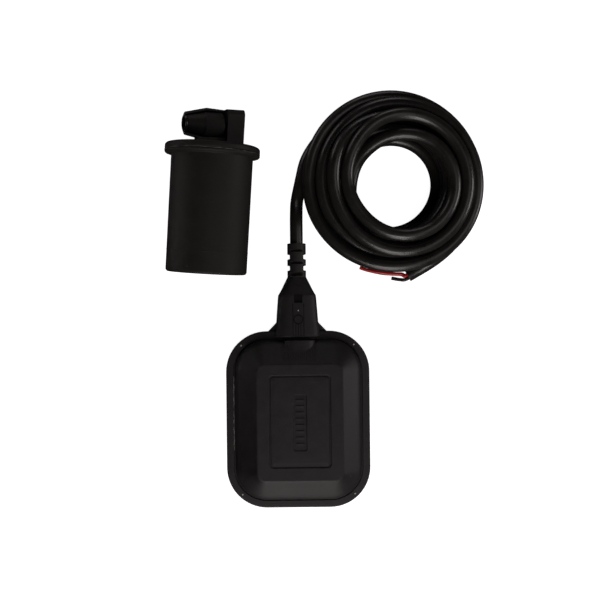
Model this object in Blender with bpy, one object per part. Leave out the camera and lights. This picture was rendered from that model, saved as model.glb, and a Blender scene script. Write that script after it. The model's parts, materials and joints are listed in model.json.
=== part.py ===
"""Cable float switch kit: a flat two-shell float with a gland neck, its coiled three-core
cable, and the loose cylindrical counterweight with its cable clamp.

The float lies on its lower plateau. The origin is the centre of that plateau, +Y runs from
the float towards its neck and cable, +X to the right, +Z up. All lengths are in millimetres
here and are scaled to metres by MM.
"""

from functools import cache
from math import atan2, cos, pi, radians, sin

import bmesh
import bpy
import numpy as np
from mathutils import Matrix, Vector

MM = 0.001
GAP = 0.3                      # clearance between neighbouring pieces
SHARP_ANGLE = 35               # degrees; edges bent further than this are shaded sharp


# ---- materials ---------------------------------------------------------------------------
def grey(level):
    return (level, level, level)


BLACK = grey(0.012)
MATERIALS = {                  # name: (base colour, roughness, metallic)
    "float_shell_black": (BLACK, 0.45, 0.0),
    "float_shell_black_lower": (BLACK, 0.45, 0.0),
    "gasket_rubber": (grey(0.02), 0.7, 0.0),
    "neck_black": (grey(0.015), 0.5, 0.0),
    "boot_rubber": (grey(0.015), 0.55, 0.0),
    "grommet_rubber": (grey(0.03), 0.8, 0.0),
    "washer_nylon": ((0.6, 0.58, 0.5), 0.5, 0.0),
    "potting_resin": ((0.05, 0.045, 0.04), 0.35, 0.0),
    "sheath_black_stub": (BLACK, 0.35, 0.0),
    "chamber_nylon": ((0.55, 0.55, 0.5), 0.5, 0.0),
    "lid_nylon": ((0.5, 0.5, 0.46), 0.5, 0.0),
    "track_nylon": ((0.5, 0.5, 0.45), 0.4, 0.0),
    "ball_steel": (grey(0.6), 0.2, 1.0),
    "switch_bakelite": (grey(0.03), 0.4, 0.0),
    "terminal_brass": ((0.6, 0.45, 0.2), 0.3, 1.0),
    "bracket_steel": (grey(0.5), 0.4, 1.0),
    "screw_steel_a": (grey(0.6), 0.3, 1.0),
    "screw_steel_b": (grey(0.6), 0.3, 1.0),
    "pin_steel": (grey(0.6), 0.3, 1.0),
    "lever_steel": (grey(0.55), 0.35, 1.0),
    "plunger_red": ((0.5, 0.05, 0.04), 0.4, 0.0),
    "lead_red": ((0.5, 0.02, 0.02), 0.4, 0.0),
    "lead_black": (grey(0.01), 0.4, 0.0),
    "lead_green": ((0.02, 0.25, 0.06), 0.4, 0.0),
    "sheath_black": (BLACK, 0.35, 0.0),
    "core_red_pvc": ((0.62, 0.03, 0.03), 0.4, 0.0),
    "core_black_pvc": (BLACK, 0.4, 0.0),
    "core_green_pvc": ((0.03, 0.28, 0.07), 0.4, 0.0),
    "weight_black": (BLACK, 0.5, 0.0),
    "ballast_iron": (grey(0.2), 0.6, 1.0),
    "cap_black": (BLACK, 0.5, 0.0),
    "nut_black": (BLACK, 0.5, 0.0),
    "ring_black": (grey(0.015), 0.3, 0.0),
}


@cache
def material(name):
    """The named material, made on first use."""
    colour, roughness, metallic = MATERIALS[name]
    made = bpy.data.materials.new(name)
    made.use_nodes = True
    inputs = made.node_tree.nodes["Principled BSDF"].inputs
    inputs["Base Color"].default_value = (*colour, 1)
    inputs["Roughness"].default_value = roughness
    inputs["Metallic"].default_value = metallic
    return made


# ---- objects -----------------------------------------------------------------------------
def clear_scene():
    for ob in list(bpy.data.objects):
        bpy.data.objects.remove(ob, do_unlink=True)


def put(name, bm, material_name, parent=None):
    """Turns a bmesh in millimetres into a named object in metres."""
    for vert in bm.verts:
        vert.co = vert.co * MM
    bmesh.ops.recalc_face_normals(bm, faces=bm.faces)
    mesh = bpy.data.meshes.new(name)
    bm.to_mesh(mesh)
    bm.free()
    mesh.shade_smooth()
    mesh.set_sharp_from_angle(angle=radians(SHARP_ANGLE))
    ob = bpy.data.objects.new(name, mesh)
    bpy.context.collection.objects.link(ob)
    mesh.materials.append(material(material_name))
    ob.parent = parent
    return ob


def cut(ob, helper, operation="DIFFERENCE"):
    helper.hide_render = True
    helper.display_type = "WIRE"
    modifier = ob.modifiers.new(helper.name, "BOOLEAN")
    modifier.operation = operation
    modifier.solver = "EXACT"
    modifier.object = helper


def join(ob, helper):
    cut(ob, helper, "UNION")


def frame_at(name, position, parent=None):
    empty = bpy.data.objects.new(name, None)
    empty.location = Vector(position) * MM
    bpy.context.collection.objects.link(empty)
    empty.parent = parent
    return empty


# ---- outlines and solids -----------------------------------------------------------------
def rounded_rect(size, segments=6, centre_y=0.0):
    """Outline of a (width, length, corner radius), anticlockwise from the right side."""
    width, length, radius = size
    points = []
    for side_x, side_y, first in ((1, 1, 0), (-1, 1, 90), (-1, -1, 180), (1, -1, 270)):
        for i in range(segments + 1):
            angle = radians(first + 90.0 * i / segments)
            points.append((side_x * (width / 2 - radius) + radius * cos(angle),
                           centre_y + side_y * (length / 2 - radius) + radius * sin(angle)))
    return points


def grown(size, by):
    """A (width, length, corner radius) offset outwards on every side."""
    width, length, radius = size
    return width + 2 * by, length + 2 * by, radius + by


def circle(radius, count):
    return [(radius * cos(2 * pi * i / count), radius * sin(2 * pi * i / count))
            for i in range(count)]


# Each of these lays a flat outline across one axis, at a distance along it.
def across_x(points, x, centre=(0, 0)):
    return [(x, centre[0] + y, centre[1] + z) for y, z in points]


def across_y(points, y, centre=(0, 0)):
    return [(centre[0] + x, y, centre[1] + z) for x, z in points]


def across_z(points, z, centre=(0, 0)):
    return [(centre[0] + x, centre[1] + y, z) for x, y in points]


def loft(loops, ring=False, bm=None):
    """Joins loops of equal length with quads. A ring closes back on its first loop;
    otherwise both ends are capped."""
    if bm is None:
        bm = bmesh.new()
    rows = [[bm.verts.new(point) for point in loop] for loop in loops]
    count = len(rows[0])
    pairs = list(zip(rows, rows[1:]))
    if ring:
        pairs.append((rows[-1], rows[0]))
    for near, far in pairs:
        for i in range(count):
            j = (i + 1) % count
            bm.faces.new((near[i], near[j], far[j], far[i]))
    if not ring:
        bm.faces.new(list(reversed(rows[0])))
        bm.faces.new(rows[-1])
    return bm


def prism(outline, across, start, end):
    return loft([across(outline, start), across(outline, end)])


def turned(profile, sides, across, centre=(0, 0), ring=False):
    """A turned solid from a profile of (radius, distance along the axis)."""
    return loft([across(circle(radius, sides), at, centre) for radius, at in profile], ring)


def box(x_span, y_span, z_span, bm=None):
    (x0, x1), (y0, y1) = x_span, y_span
    outline = [(x0, y0), (x1, y0), (x1, y1), (x0, y1)]
    return loft([across_z(outline, z) for z in z_span], bm=bm)


def span(sign, near, far):
    """The interval between two distances on one side of zero, lowest first."""
    return sorted((sign * near, sign * far))


def about(centre, half):
    return centre - half, centre + half


def sweep(points, radius, sides):
    """A round rod along a line that doesn't start upright, with parallel-transported
    sections and flat ends."""
    line = [Vector(point) for point in points]
    final = len(line) - 1
    tangents = [(line[min(i + 1, final)] - line[max(i - 1, 0)]).normalized()
                for i in range(len(line))]
    normal = Vector((0, 0, 1))
    loops = []
    for point, tangent in zip(line, tangents):
        normal = (normal - tangent * normal.dot(tangent)).normalized()
        binormal = tangent.cross(normal)
        loops.append([tuple(point + (normal * x + binormal * y) * radius)
                      for x, y in circle(1, sides)])
    return loft(loops)


def spline(knots, steps):
    """A Catmull-Rom curve through numbers or vectors, with a number of steps between knots."""
    knots = [2 * knots[0] - knots[1]] + knots + [2 * knots[-1] - knots[-2]]
    curve = []
    for p0, p1, p2, p3 in zip(knots, knots[1:], knots[2:], knots[3:]):
        for i in range(steps):
            t = i / steps
            curve.append(0.5 * (2 * p1 + (p2 - p0) * t
                                + (2 * p0 - 5 * p1 + 4 * p2 - p3) * t * t
                                + (3 * p1 - p0 - 3 * p2 + p3) * t ** 3))
    curve.append(knots[-2])
    return curve


def smooth_line(points, steps):
    return spline([Vector(point) for point in points], steps)


# ---- float shells ------------------------------------------------------------------------
# Sizes are (width, length, corner radius); heights are measured from the seam.
FLOAT_H = 43.0                                      # over both plateaus
MID_Z = FLOAT_H / 2                                 # plane of the seam
PLATEAU_Z = FLOAT_H / 2                             # plateau above the seam
RIM = (104.7, 128.6, 29.4)
RIM_HALF = 4.0                                      # half the thickness of the rim
RIM_WIDTH = 5.3                                     # flat ring outside the groove
RIM_CHAMFER = 0.6
RIM_GROOVE_DEPTH = 1.4
PLATEAU = (61.6, 83.0, 6.0)
DOME_SPREAD, DOME_DROP = 14.7, 17.4                 # the dome's side, from plateau to groove
DOME_FOOT = (PLATEAU[0] + 2 * DOME_SPREAD + 0.2, PLATEAU[1] + 33.4, PLATEAU[2] + 16.6)
FRAME_OUTER = (44.6, 65.2, 2.4)                     # shallow groove on the upper plateau
FRAME_INNER = (FRAME_OUTER[0] - 1.6, FRAME_OUTER[1] - 1.6, 1.8)
FRAME_DEPTH = 0.5
LABEL = (9.7, 40.0, 1.2)                            # blank recessed plate
LABEL_DEPTH = 0.6
SHELL_T = 2.2                                       # wall thickness at the plateau
SEAT_OUTER, SEAT_INNER = (97.4, 121.4, 25.6), (86.8, 110.8, 20.4)   # gasket seat
SEAT_DEPTH = 1.3
CAVITY = [                                          # size and height, from seam to plateau
    (SEAT_INNER, SEAT_DEPTH), ((86.4, 110.4, 20.2), 4.6), ((80.5, 103.0, 16.5), 10.0),
    ((70.5, 92.5, 11.0), 15.4), ((58.6, 80.2, 5.0), PLATEAU_Z - SHELL_T),
]
LEAD_SLOT_HALF = 4.6                                # half the width of the slot for the leads


def dome_side():
    """Sizes and heights down the dome: a straight slope, then a tighter curve to the groove."""
    stations = [(0.0, 0.0)]                         # fractions of the spread and the drop
    for t in (0.0, 0.5, 1.0):
        stations.append((0.75 * (1 - t) ** 2 + 2 * t * (1 - t) + t * t,
                         0.54 * (1 - t) ** 2 + 1.44 * t * (1 - t) + t * t))
    width, length, radius = PLATEAU
    loops = []
    for out, down in stations:
        out *= DOME_SPREAD
        size = (width + 2 * out, length + 2.26 * out, radius + 1.13 * out)
        loops.append((size, PLATEAU_Z - DOME_DROP * down))
    return loops


def shell(sign):
    """One half shell; sign is +1 above the seam and -1 below it."""
    stations = []
    if sign > 0:
        stations = [(LABEL, PLATEAU_Z - LABEL_DEPTH), (LABEL, PLATEAU_Z),
                    (FRAME_INNER, PLATEAU_Z), (FRAME_INNER, PLATEAU_Z - FRAME_DEPTH),
                    (FRAME_OUTER, PLATEAU_Z - FRAME_DEPTH), (FRAME_OUTER, PLATEAU_Z)]
    stations += dome_side()
    stations += [
        (DOME_FOOT, RIM_HALF - RIM_GROOVE_DEPTH),
        (grown(RIM, -RIM_WIDTH), RIM_HALF - RIM_GROOVE_DEPTH),
        (grown(RIM, -RIM_WIDTH), RIM_HALF),
        (grown(RIM, -RIM_CHAMFER), RIM_HALF), (RIM, RIM_HALF - RIM_CHAMFER),
        (RIM, GAP / 2), (SEAT_OUTER, GAP / 2), (SEAT_OUTER, SEAT_DEPTH)]
    stations += CAVITY
    return loft([across_z(rounded_rect(size), MID_Z + sign * height)
                 for size, height in stations])


def build_shells(parent):
    half = SEAT_DEPTH - GAP
    outer, inner = grown(SEAT_OUTER, -0.4), grown(SEAT_INNER, 0.6)
    gasket = loft([across_z(rounded_rect(size), MID_Z + height) for size, height in (
        (outer, -half), (outer, half), (inner, half), (inner, -half))], ring=True)
    pieces = [put("float_top_shell", shell(1), "float_shell_black", parent),
              put("float_bottom_shell", shell(-1), "float_shell_black_lower", parent),
              put("seam_gasket", gasket, "gasket_rubber", parent)]
    # a slot through the seam, under the neck, lets the leads into the float
    slot = box(about(0, LEAD_SLOT_HALF), (50, 68), about(MID_Z, 2.4))
    slot = put("lead_slot", slot, "float_shell_black", parent)
    for piece in pieces:
        cut(piece, slot)


# ---- cable sizes, shared by the neck and the coil ----------------------------------------
CABLE_R = 4.7
HINGE_Y = 137.0                                     # where the tail bends beyond the boot

# ---- neck and strain relief --------------------------------------------------------------
NECK_AXIS = (0, MID_Z)
NECK_START, NECK_END, CONE_END, BOOT_END = 60.4, 91.3, 104.0, 128.4     # along Y
NECK_W_RIM, NECK_W_CONE, NECK_H = 32.2, 27.9, 24.0  # width at the rim, at the cone; height
CONE_R, BOOT_R = 7.2, 6.8
SPIGOT_R, SPIGOT_START = 6.1, 98.2                  # part of the boot inside the cone
SPIGOT_BORE = SPIGOT_R + GAP
GLAND_R = 9.3                                       # bore for the seal inside the neck
BOOT_BORE = 5.0                                     # bore of the boot, seal and collar
NECK_SECTIONS = [                                   # (width, height, corner radius), y
    ((NECK_W_RIM, NECK_H, 8.5), NECK_START),
    ((NECK_W_RIM - 0.2, NECK_H, 8.5), 66.0),
    ((30.0, NECK_H - 0.2, 8.5), 78.0),
    ((NECK_W_CONE, NECK_H - 0.6, 8.5), NECK_END - 1.5),
    ((NECK_W_CONE - 1.6, NECK_H - 2.2, 8.4), NECK_END),
    ((21.5, 19.0, 8.6), 95.6),
    ((2 * CONE_R, 2 * CONE_R, CONE_R - 0.02), CONE_END),
]
GUSSET = [(12.5, 64.9), (21.8, 64.9), (21.8, 65.4), (15.2, 72.4), (12.5, 72.4)]     # x, y
GUSSET_HALF = 1.6
GLAND_START = 70.4
GLAND_STACK = [                                     # name, length, material; towards +Y
    ("potting_collar", 13.9, "potting_resin"),
    ("gland_washer", 2.1, "washer_nylon"),
    ("cable_grommet", 6.6, "grommet_rubber"),
]
STUB_START = 71.0
SIDE_SLOTS, SIDE_SLOT_L = (108.9, 117.1), 3.3       # starts along Y, and length
FLAT_SLOTS, FLAT_SLOT_L = (105.3, 113.4, 122.2), 1.9    # the same, at top and bottom


def build_neck(parent):
    """A rounded box that narrows away from the rim, then a cone, bored for the gland."""
    def helper(name, bm):
        return put(name, bm, "float_shell_black", parent)

    neck = put("neck_housing", loft([across_y(rounded_rect(size), y, NECK_AXIS)
                                     for size, y in NECK_SECTIONS]), "neck_black", parent)
    for side, sign in (("left", -1), ("right", 1)):
        outline = [(sign * x, y) for x, y in GUSSET]
        web = prism(outline, across_z, *about(MID_Z, GUSSET_HALF))
        join(neck, helper("gusset_" + side, web))
    cut(neck, helper("rim_slot", prism(rounded_rect(grown(RIM, GAP)), across_z,
                                       *about(MID_Z, RIM_HALF + GAP))))
    cut(neck, helper("gland_bore", turned(
        [(GLAND_R, 55), (GLAND_R, 94.0), (SPIGOT_BORE, 97.6), (SPIGOT_BORE, 110)],
        24, across_y, NECK_AXIS)))
    cut(neck, helper("square_dimple",
                     box((-3.0, 3.0), (85.0, 91.0), (MID_Z + 10.4, MID_Z + 20))))


def build_boot(parent):
    """A bored rubber boot with alternating slots, its spigot inside the neck's cone."""
    shoulder = CONE_END + GAP
    boot = put("strain_relief_boot", turned(
        [(SPIGOT_R, SPIGOT_START), (SPIGOT_R, shoulder), (BOOT_R, shoulder),
         (BOOT_R, BOOT_END - 0.4), (BOOT_R - 0.4, BOOT_END),
         (BOOT_BORE, BOOT_END), (BOOT_BORE, SPIGOT_START)],
        24, across_y, NECK_AXIS, ring=True), "boot_rubber", parent)
    slots = bmesh.new()
    for sign in (-1, 1):
        low, high = span(sign, BOOT_BORE + 0.4, 9.0)
        for y in SIDE_SLOTS:
            box((low, high), (y, y + SIDE_SLOT_L), about(MID_Z, 8), slots)
        for y in FLAT_SLOTS:
            box((-4.3, 4.3), (y, y + FLAT_SLOT_L), (MID_Z + low, MID_Z + high), slots)
    cut(boot, put("boot_slots", slots, "float_shell_black", parent))


def build_gland(parent):
    """The bored rings stacked inside the neck."""
    start, outer = GLAND_START, GLAND_R - GAP
    for name, length, material_name in GLAND_STACK:
        end = start + length
        put(name, turned([(outer, start), (outer, end), (BOOT_BORE, end), (BOOT_BORE, start)],
                         20, across_y, NECK_AXIS, ring=True), material_name, parent)
        start = end + GAP


def build_cable_stub(parent):
    """The straight cable through the neck, with a domed end where the tail bends."""
    dome = [(CABLE_R * cos(angle), HINGE_Y + CABLE_R * sin(angle))
            for angle in (radians(18.0 * i) for i in range(5))]
    profile = [(CABLE_R, STUB_START)] + dome + [(0.5, HINGE_Y + CABLE_R)]
    put("cable_stub", turned(profile, 16, across_y, NECK_AXIS), "sheath_black_stub", parent)


# ---- switch chamber and ball -------------------------------------------------------------
CHAMBER_W, CHAMBER_T = 40.0, 1.5
CHAMBER_Y0, CHAMBER_Y1 = -37.0, 30.0
CHAMBER_Z0, CHAMBER_Z1 = 2.9, 37.8
CHAMBER_L, CHAMBER_MID_Y = CHAMBER_Y1 - CHAMBER_Y0, (CHAMBER_Y0 + CHAMBER_Y1) / 2
TRACK_Z, TRACK_TOP = 4.9, 17.5                      # underside and top of the ball track
TRACK_W_HALF, TRACK_T = 9.6, 1.2
BALL_R, BALL_Y = 7.8, -20.0
BALL_Z = TRACK_Z + TRACK_T + BALL_R + GAP


def build_chamber(parent):
    """An open box with a lid, windowed on the neck side for the leads."""
    outside = rounded_rect((CHAMBER_W, CHAMBER_L, 3.0), 3, CHAMBER_MID_Y)
    inside = rounded_rect((CHAMBER_W - 2 * CHAMBER_T, CHAMBER_L - 2 * CHAMBER_T, 1.6),
                          3, CHAMBER_MID_Y)
    chamber = put("switch_chamber", loft([
        across_z(inside, CHAMBER_Z0 + CHAMBER_T), across_z(inside, CHAMBER_Z1),
        across_z(outside, CHAMBER_Z1), across_z(outside, CHAMBER_Z0)]), "chamber_nylon", parent)
    cut(chamber, put("lead_window", box(about(0, LEAD_SLOT_HALF), (26, 33), (28.0, 37.0)),
                     "chamber_nylon", parent))
    put("chamber_lid", prism(outside, across_z, CHAMBER_Z1 + GAP, CHAMBER_Z1 + 1.9),
        "lid_nylon", parent)


def build_ball_track(parent):
    """A straight channel the ball rolls in."""
    outer, inner, floor = TRACK_W_HALF, TRACK_W_HALF - TRACK_T, TRACK_Z + TRACK_T
    outline = [(-outer, TRACK_Z), (outer, TRACK_Z), (outer, TRACK_TOP), (inner, TRACK_TOP),
               (inner, floor), (-inner, floor), (-inner, TRACK_TOP), (-outer, TRACK_TOP)]
    put("ball_track", prism(outline, across_y, -31.0, 11.5), "track_nylon", parent)


def build_ball(parent):
    frame = frame_at("ball_frame", (0, BALL_Y, BALL_Z), parent)
    ball = bmesh.new()
    bmesh.ops.create_uvsphere(ball, u_segments=20, v_segments=12, radius=BALL_R)
    put("steel_ball", ball, "ball_steel", frame)


# ---- microswitch -------------------------------------------------------------------------
CASE_W, CASE_L, CASE_Y = 10.0, 20.0, 13.0           # width, length and middle of the case
CASE_Z0, CASE_Z1 = 27.2, 37.0
PIVOT = (16.0, 24.9)                                # y, z of the lever pin
PIN_R = 0.95
PIN_BORE = PIN_R + GAP
LEVER_LEN, LEVER_REST = 20.0, 10.0                  # blade length; droop at rest in degrees
BLADE_HALF = 0.4                                    # half the thickness of the blade
BLADE_START, KNUCKLE_R = 1.98, 2.02
PLUNGER_Y, PLUNGER_Z, PLUNGER_R = 10.0, 24.6, 1.2
TERMINAL_Z = (29.6, 32.2, 34.8)
TERMINAL_SHAPE = [(1.6, 19.9), (1.6, 26.6), (1.0, 27.8)]    # half width, y
SCREWS = [("a", 6.0, 33.5), ("b", 17.5, 34.8)]      # name, y, z
SCREW_R = 1.0
BRACKET_X0, BRACKET_X1 = CASE_W / 2 + GAP, 6.6      # faces of the bracket's upright leaf
INNER_LEADS = [("red", 0.0), ("black", -2.7), ("green", 2.7)]   # name, x beyond the switch
LEAD_R = 1.1


def build_case(parent):
    """The switch body: ears for the lever pin, a plunger bore, sockets and screw bores."""
    def helper(name, bm):
        return put(name, bm, "switch_bakelite", parent)

    case = helper("microswitch_case", prism(rounded_rect((CASE_W, CASE_L, 0.8), 2, CASE_Y),
                                            across_z, CASE_Z0, CASE_Z1))
    for side, sign in (("left", -1), ("right", 1)):
        ear = box(span(sign, 3.8, CASE_W / 2), about(PIVOT[0], 2.6), (22.6, 28.0))
        join(case, helper("ear_" + side, ear))
    cut(case, helper("pin_bore", turned([(PIN_BORE, -7), (PIN_BORE, 7)], 12, across_x, PIVOT)))
    radius = PLUNGER_R + GAP
    cut(case, helper("plunger_bore", turned([(radius, 26.5), (radius, 30.9)], 12,
                                            across_z, (0, PLUNGER_Y))))
    for key, z in zip("abc", TERMINAL_Z):
        cut(case, helper("socket_" + key, box((-1.9, 1.9), (19.6, 24.0), about(z, 0.6))))
    radius = SCREW_R + GAP
    for key, *centre in SCREWS:
        cut(case, helper("screw_bore_" + key,
                         turned([(radius, -7), (radius, 7)], 12, across_x, centre)))


def build_terminals(parent):
    for key, z in zip(("common", "open", "closed"), TERMINAL_Z):
        low, high = about(z, 0.3)
        blade = loft([[(-half, y, low), (half, y, low), (half, y, high), (-half, y, high)]
                      for half, y in TERMINAL_SHAPE])
        terminal = put("terminal_" + key, blade, "terminal_brass", parent)
        # each terminal has its own copy of the brass
        terminal.data.materials[0] = material("terminal_brass").copy()


def build_bracket(parent):
    """An angle under the lid, and the screws that hold the switch to it."""
    outline = [(BRACKET_X0, 28.2), (BRACKET_X1, 28.2), (BRACKET_X1, 36.2),      # x, z
               (15.0, 36.2), (15.0, 37.5), (BRACKET_X0, 37.5)]
    bracket = put("switch_bracket", prism(outline, across_y, 4.0, 22.0),
                  "bracket_steel", parent)
    bore = SCREW_R + GAP
    screw = [(1.9, -BRACKET_X1), (1.9, -BRACKET_X0), (SCREW_R, -BRACKET_X0), (SCREW_R, 7.4)]
    for key, *centre in SCREWS:
        cut(bracket, put("bracket_bore_" + key,
                         turned([(bore, 4), (bore, 9)], 12, across_x, centre),
                         "switch_bakelite", parent))
        put("switch_screw_" + key, turned(screw, 12, across_x, centre),
            "screw_steel_" + key, parent)


def build_lever(parent):
    """The pin, and a lever with a knuckle round it and a blade that droops over the track."""
    put("lever_pin", turned([(PIN_R, -5.6), (PIN_R, 5.6)], 12, across_x, PIVOT),
        "pin_steel", parent)
    frame = frame_at("lever_frame", (0, *PIVOT), parent)
    droop = radians(LEVER_REST)

    def blade_point(along, above):
        """The y and z of a point along the blade from the pin and above its middle."""
        return (-along * cos(droop) - above * sin(droop),
                -along * sin(droop) + above * cos(droop))

    blade = [blade_point(BLADE_START, BLADE_HALF), blade_point(LEVER_LEN, BLADE_HALF),
             blade_point(LEVER_LEN, -BLADE_HALF), blade_point(BLADE_START, -BLADE_HALF)]
    root_y, root_z = blade[-1]
    first = atan2(root_z, root_y)
    angles = [first + radians(18 + 320.0 * i / 12) for i in range(13)]
    knuckle = [(KNUCKLE_R * cos(angle), KNUCKLE_R * sin(angle)) for angle in angles]
    lever = put("switch_lever", prism(blade + knuckle, across_x, -3.3, 3.3),
                "lever_steel", frame)
    cut(lever, put("knuckle_bore", turned([(PIN_BORE, -5), (PIN_BORE, 5)], 12, across_x),
                   "lever_steel", frame))


def build_plunger(parent):
    frame = frame_at("plunger_frame", (0, PLUNGER_Y, PLUNGER_Z), parent)
    put("microswitch_plunger", turned([(0.7, 0), (PLUNGER_R, 0.4), (PLUNGER_R, 4.9)],
                                      12, across_z), "plunger_red", frame)


def build_inner_leads(parent):
    """Leads from the terminals to the end of the cable inside the neck."""
    for (key, x), z in zip(INNER_LEADS, TERMINAL_Z):
        line = smooth_line([
            (0, 28.2, z), (x * 0.6, 33.0, z), (x, 42.0, (z + MID_Z) / 2),
            (x, 51.0, MID_Z + 0.3), (x, 58.0, MID_Z), (x, 65.0, MID_Z),
            (x * 0.95, 70.6, MID_Z)], 2)
        put("inner_lead_" + key, sweep(line, LEAD_R, 8), "lead_" + key, parent)


# ---- cable -------------------------------------------------------------------------------
COIL_X, COIL_Y = 72.0, 172.2                        # centre of the coil
STATIONS = 48                                       # points along one turn
# The lay of the coil, clockwise seen from above. Each row is one turn: its radii, then its
# heights, at -X, -X+Y, +Y, +X+Y, +X, +X-Y, -Y and -X-Y of the centre.
COIL_TURNS = [
    ((70.0, 62.2, 60.0, 59.3, 59.2, 59.2, 59.2, 58.5), (9.3, 5.2, 4.8, 4.8, 4.8, 4.8, 4.8, 4.8)),
    ((57.8, 52.6, 49.8, 49.0, 48.7, 48.6, 48.0, 46.0), (4.8, 4.8, 4.8, 4.8, 4.8, 4.8, 4.8, 4.8)),
    ((41.5, 37.0, 36.4, 35.9, 34.8, 34.5, 36.4, 37.4), (4.8, 4.8, 4.8, 4.8, 4.8, 4.8, 5.6, 8.0)),
    ((39.4, 40.5, 40.5, 40.0, 39.5, 39.0, 40.5, 42.0), (11, 13, 13.5, 13.5, 13.5, 13.5, 14, 14)),
    ((42.0, 41.5, 40.5, 41.0, 41.0, 40.5, 41.0, 39.5), (15, 17, 18, 19, 19.5, 19.5, 19, 18)),
    ((31.1, 31.7, 34.3, 39.4, 43.0, 43.9, 38.8, 33.4), (17, 19, 23, 26, 27.5, 27.5, 27.5, 27.5)),
    ((34.6, 39.9, 48.3, 51.7, 53.0, 53.9, 50.1, 44.3), (27, 29, 30, 30, 30, 29, 28, 28)),
    ((43.5, 46.4, 46.0, 50.1, 52.4, 53.6, 54.2, 51.3), (27, 21.5, 21.5, 21, 20.5, 20, 19, 19)),
    ((53.2, 55.4, 59.0, 59.4, 60.2, 61.8, 60.2, 61.4), (20, 21, 21, 21.5, 22, 22, 22, 22)),
    ((62.1, 64.8, 65.3, 63.0, 62.0, 62.1), (19, 17, 14.5, 13, 12.2, 10.8)),
]
TURN_CLEAR = 9.95                                   # closest two turns may lie, centre to centre
SETTLE_ROUNDS = 400
CALM_ROUNDS = 40                                    # last rounds, softened every second time
RADIUS_PULL, HEIGHT_PULL = 0.02, 0.004              # share drawn back to the lay each round
TAIL = [(0.0, HINGE_Y + CABLE_R + 0.4, MID_Z), (0.0, 147.0, 20.5), (0.2, 154.0, 17.4),
        (0.8, 162.0, 12.9)]
TAIL_JOIN = 2                                       # coil point, just past -X, the tail meets
CABLE_END = (83.5, 104.4, 5.1)                      # cut end of the sheath
CABLE_END_HEADING = (-0.873, -0.487, 0.0)           # and the way it points
END_STEPS, END_PULL = 6, 0.35                       # steps and handle length of the run-out
CABLE_SIDES = 10
CORE_R, CORE_OFFSET = 1.35, 1.73                    # a core's radius, and offset from the axis
CORES = [                       # name, degrees round the cable's axis, points beyond the sheath
    ("red", 120, [(79.1, 105.6, 6.3), (73.9, 105.8, 6.2), (66.4, 106.6, 5.6),
                  (59.0, 107.7, 5.0), (52.8, 109.2, 4.4), (47.6, 111.1, 3.6)]),
    ("black", 0, [(80.4, 101.4, 4.5), (76.2, 101.9, 2.9), (71.7, 102.8, 1.8)]),
    ("green", 240, [(79.1, 105.5, 2.4), (72.5, 106.0, 1.7), (65.0, 106.6, 1.7),
                    (57.5, 108.1, 1.7)]),
]


def soften(values):
    middle = 0.25 * values[:-2] + 0.5 * values[1:-1] + 0.25 * values[2:]
    return 0.6 * values + 0.4 * np.concatenate([values[:1], middle, values[-1:]])


def lay_coil():
    """The turns settle against one another: wherever two of them lie closer than TURN_CLEAR
    they are pushed apart, mostly in height, while each is drawn back to its own lay."""
    radius, height = (np.array(spline([v for turn in COIL_TURNS for v in turn[column]],
                                      STATIONS // 8)) for column in (0, 1))
    lay_radius, lay_height = radius.copy(), height.copy()
    count = len(radius)
    for step in range(SETTLE_ROUNDS):
        radius_push, height_push = np.zeros(count), np.zeros(count)
        for shift in range(STATIONS, count, STATIONS):      # points a whole number of turns on
            across = radius[shift:] - radius[:-shift]
            rise = height[shift:] - height[:-shift]
            distance = np.hypot(across, rise) + 1e-9
            push = np.clip(TURN_CLEAR - distance, 0, None) * 0.5
            sideways = push * across / distance * 0.5
            upwards = push * rise / distance
            radius_push[:-shift] -= sideways
            radius_push[shift:] += sideways
            height_push[:-shift] -= upwards
            height_push[shift:] += upwards
        radius += radius_push + (lay_radius - radius) * RADIUS_PULL
        height += height_push + (lay_height - height) * HEIGHT_PULL
        if step < SETTLE_ROUNDS - CALM_ROUNDS or step % 2 == 0:
            radius, height = soften(radius), soften(height)
        height = np.maximum(height, CABLE_R + 0.1)
    angle = np.arange(count) * 2 * pi / STATIONS
    return np.stack([COIL_X - radius * np.cos(angle), COIL_Y + radius * np.sin(angle),
                     height], 1)


def cable_line():
    """The whole centre line, from the float's boot to the cut end of the sheath."""
    coil = [Vector(point) for point in lay_coil()]
    tail = smooth_line(TAIL + [coil[TAIL_JOIN]], 3)[:-1]
    turns = coil[TAIL_JOIN::2]                      # every second point is enough for the solid
    last, end = coil[-1], Vector(CABLE_END)
    heading = (last - coil[-2]).normalized()
    reach = (end - last).length
    last_handle = last + heading * reach * END_PULL
    end_handle = end - Vector(CABLE_END_HEADING) * reach * END_PULL
    run_out = []
    for i in range(1, END_STEPS + 1):               # a cubic from the last turn to the cut end
        t = i / END_STEPS
        run_out.append((1 - t) ** 3 * last + 3 * (1 - t) ** 2 * t * last_handle
                       + 3 * (1 - t) * t * t * end_handle + t ** 3 * end)
    return tail + turns + run_out


def build_cable():
    put("cable_sheath", sweep(cable_line(), CABLE_R, CABLE_SIDES), "sheath_black")


def build_cores():
    """The three bared cores, which leave the cut end side by side round its axis."""
    x, y, z = CABLE_END
    ahead_x, ahead_y, _ = CABLE_END_HEADING
    for key, turn, points in CORES:
        side, lift = CORE_OFFSET * cos(radians(turn)), CORE_OFFSET * sin(radians(turn))
        start = [(x + ahead_x * out - ahead_y * side, y + ahead_y * out + ahead_x * side,
                  z + lift) for out in (0.5, 2.0)]
        put("core_" + key, sweep(smooth_line(start + points, 3), CORE_R, 8),
            f"core_{key}_pvc")


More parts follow.
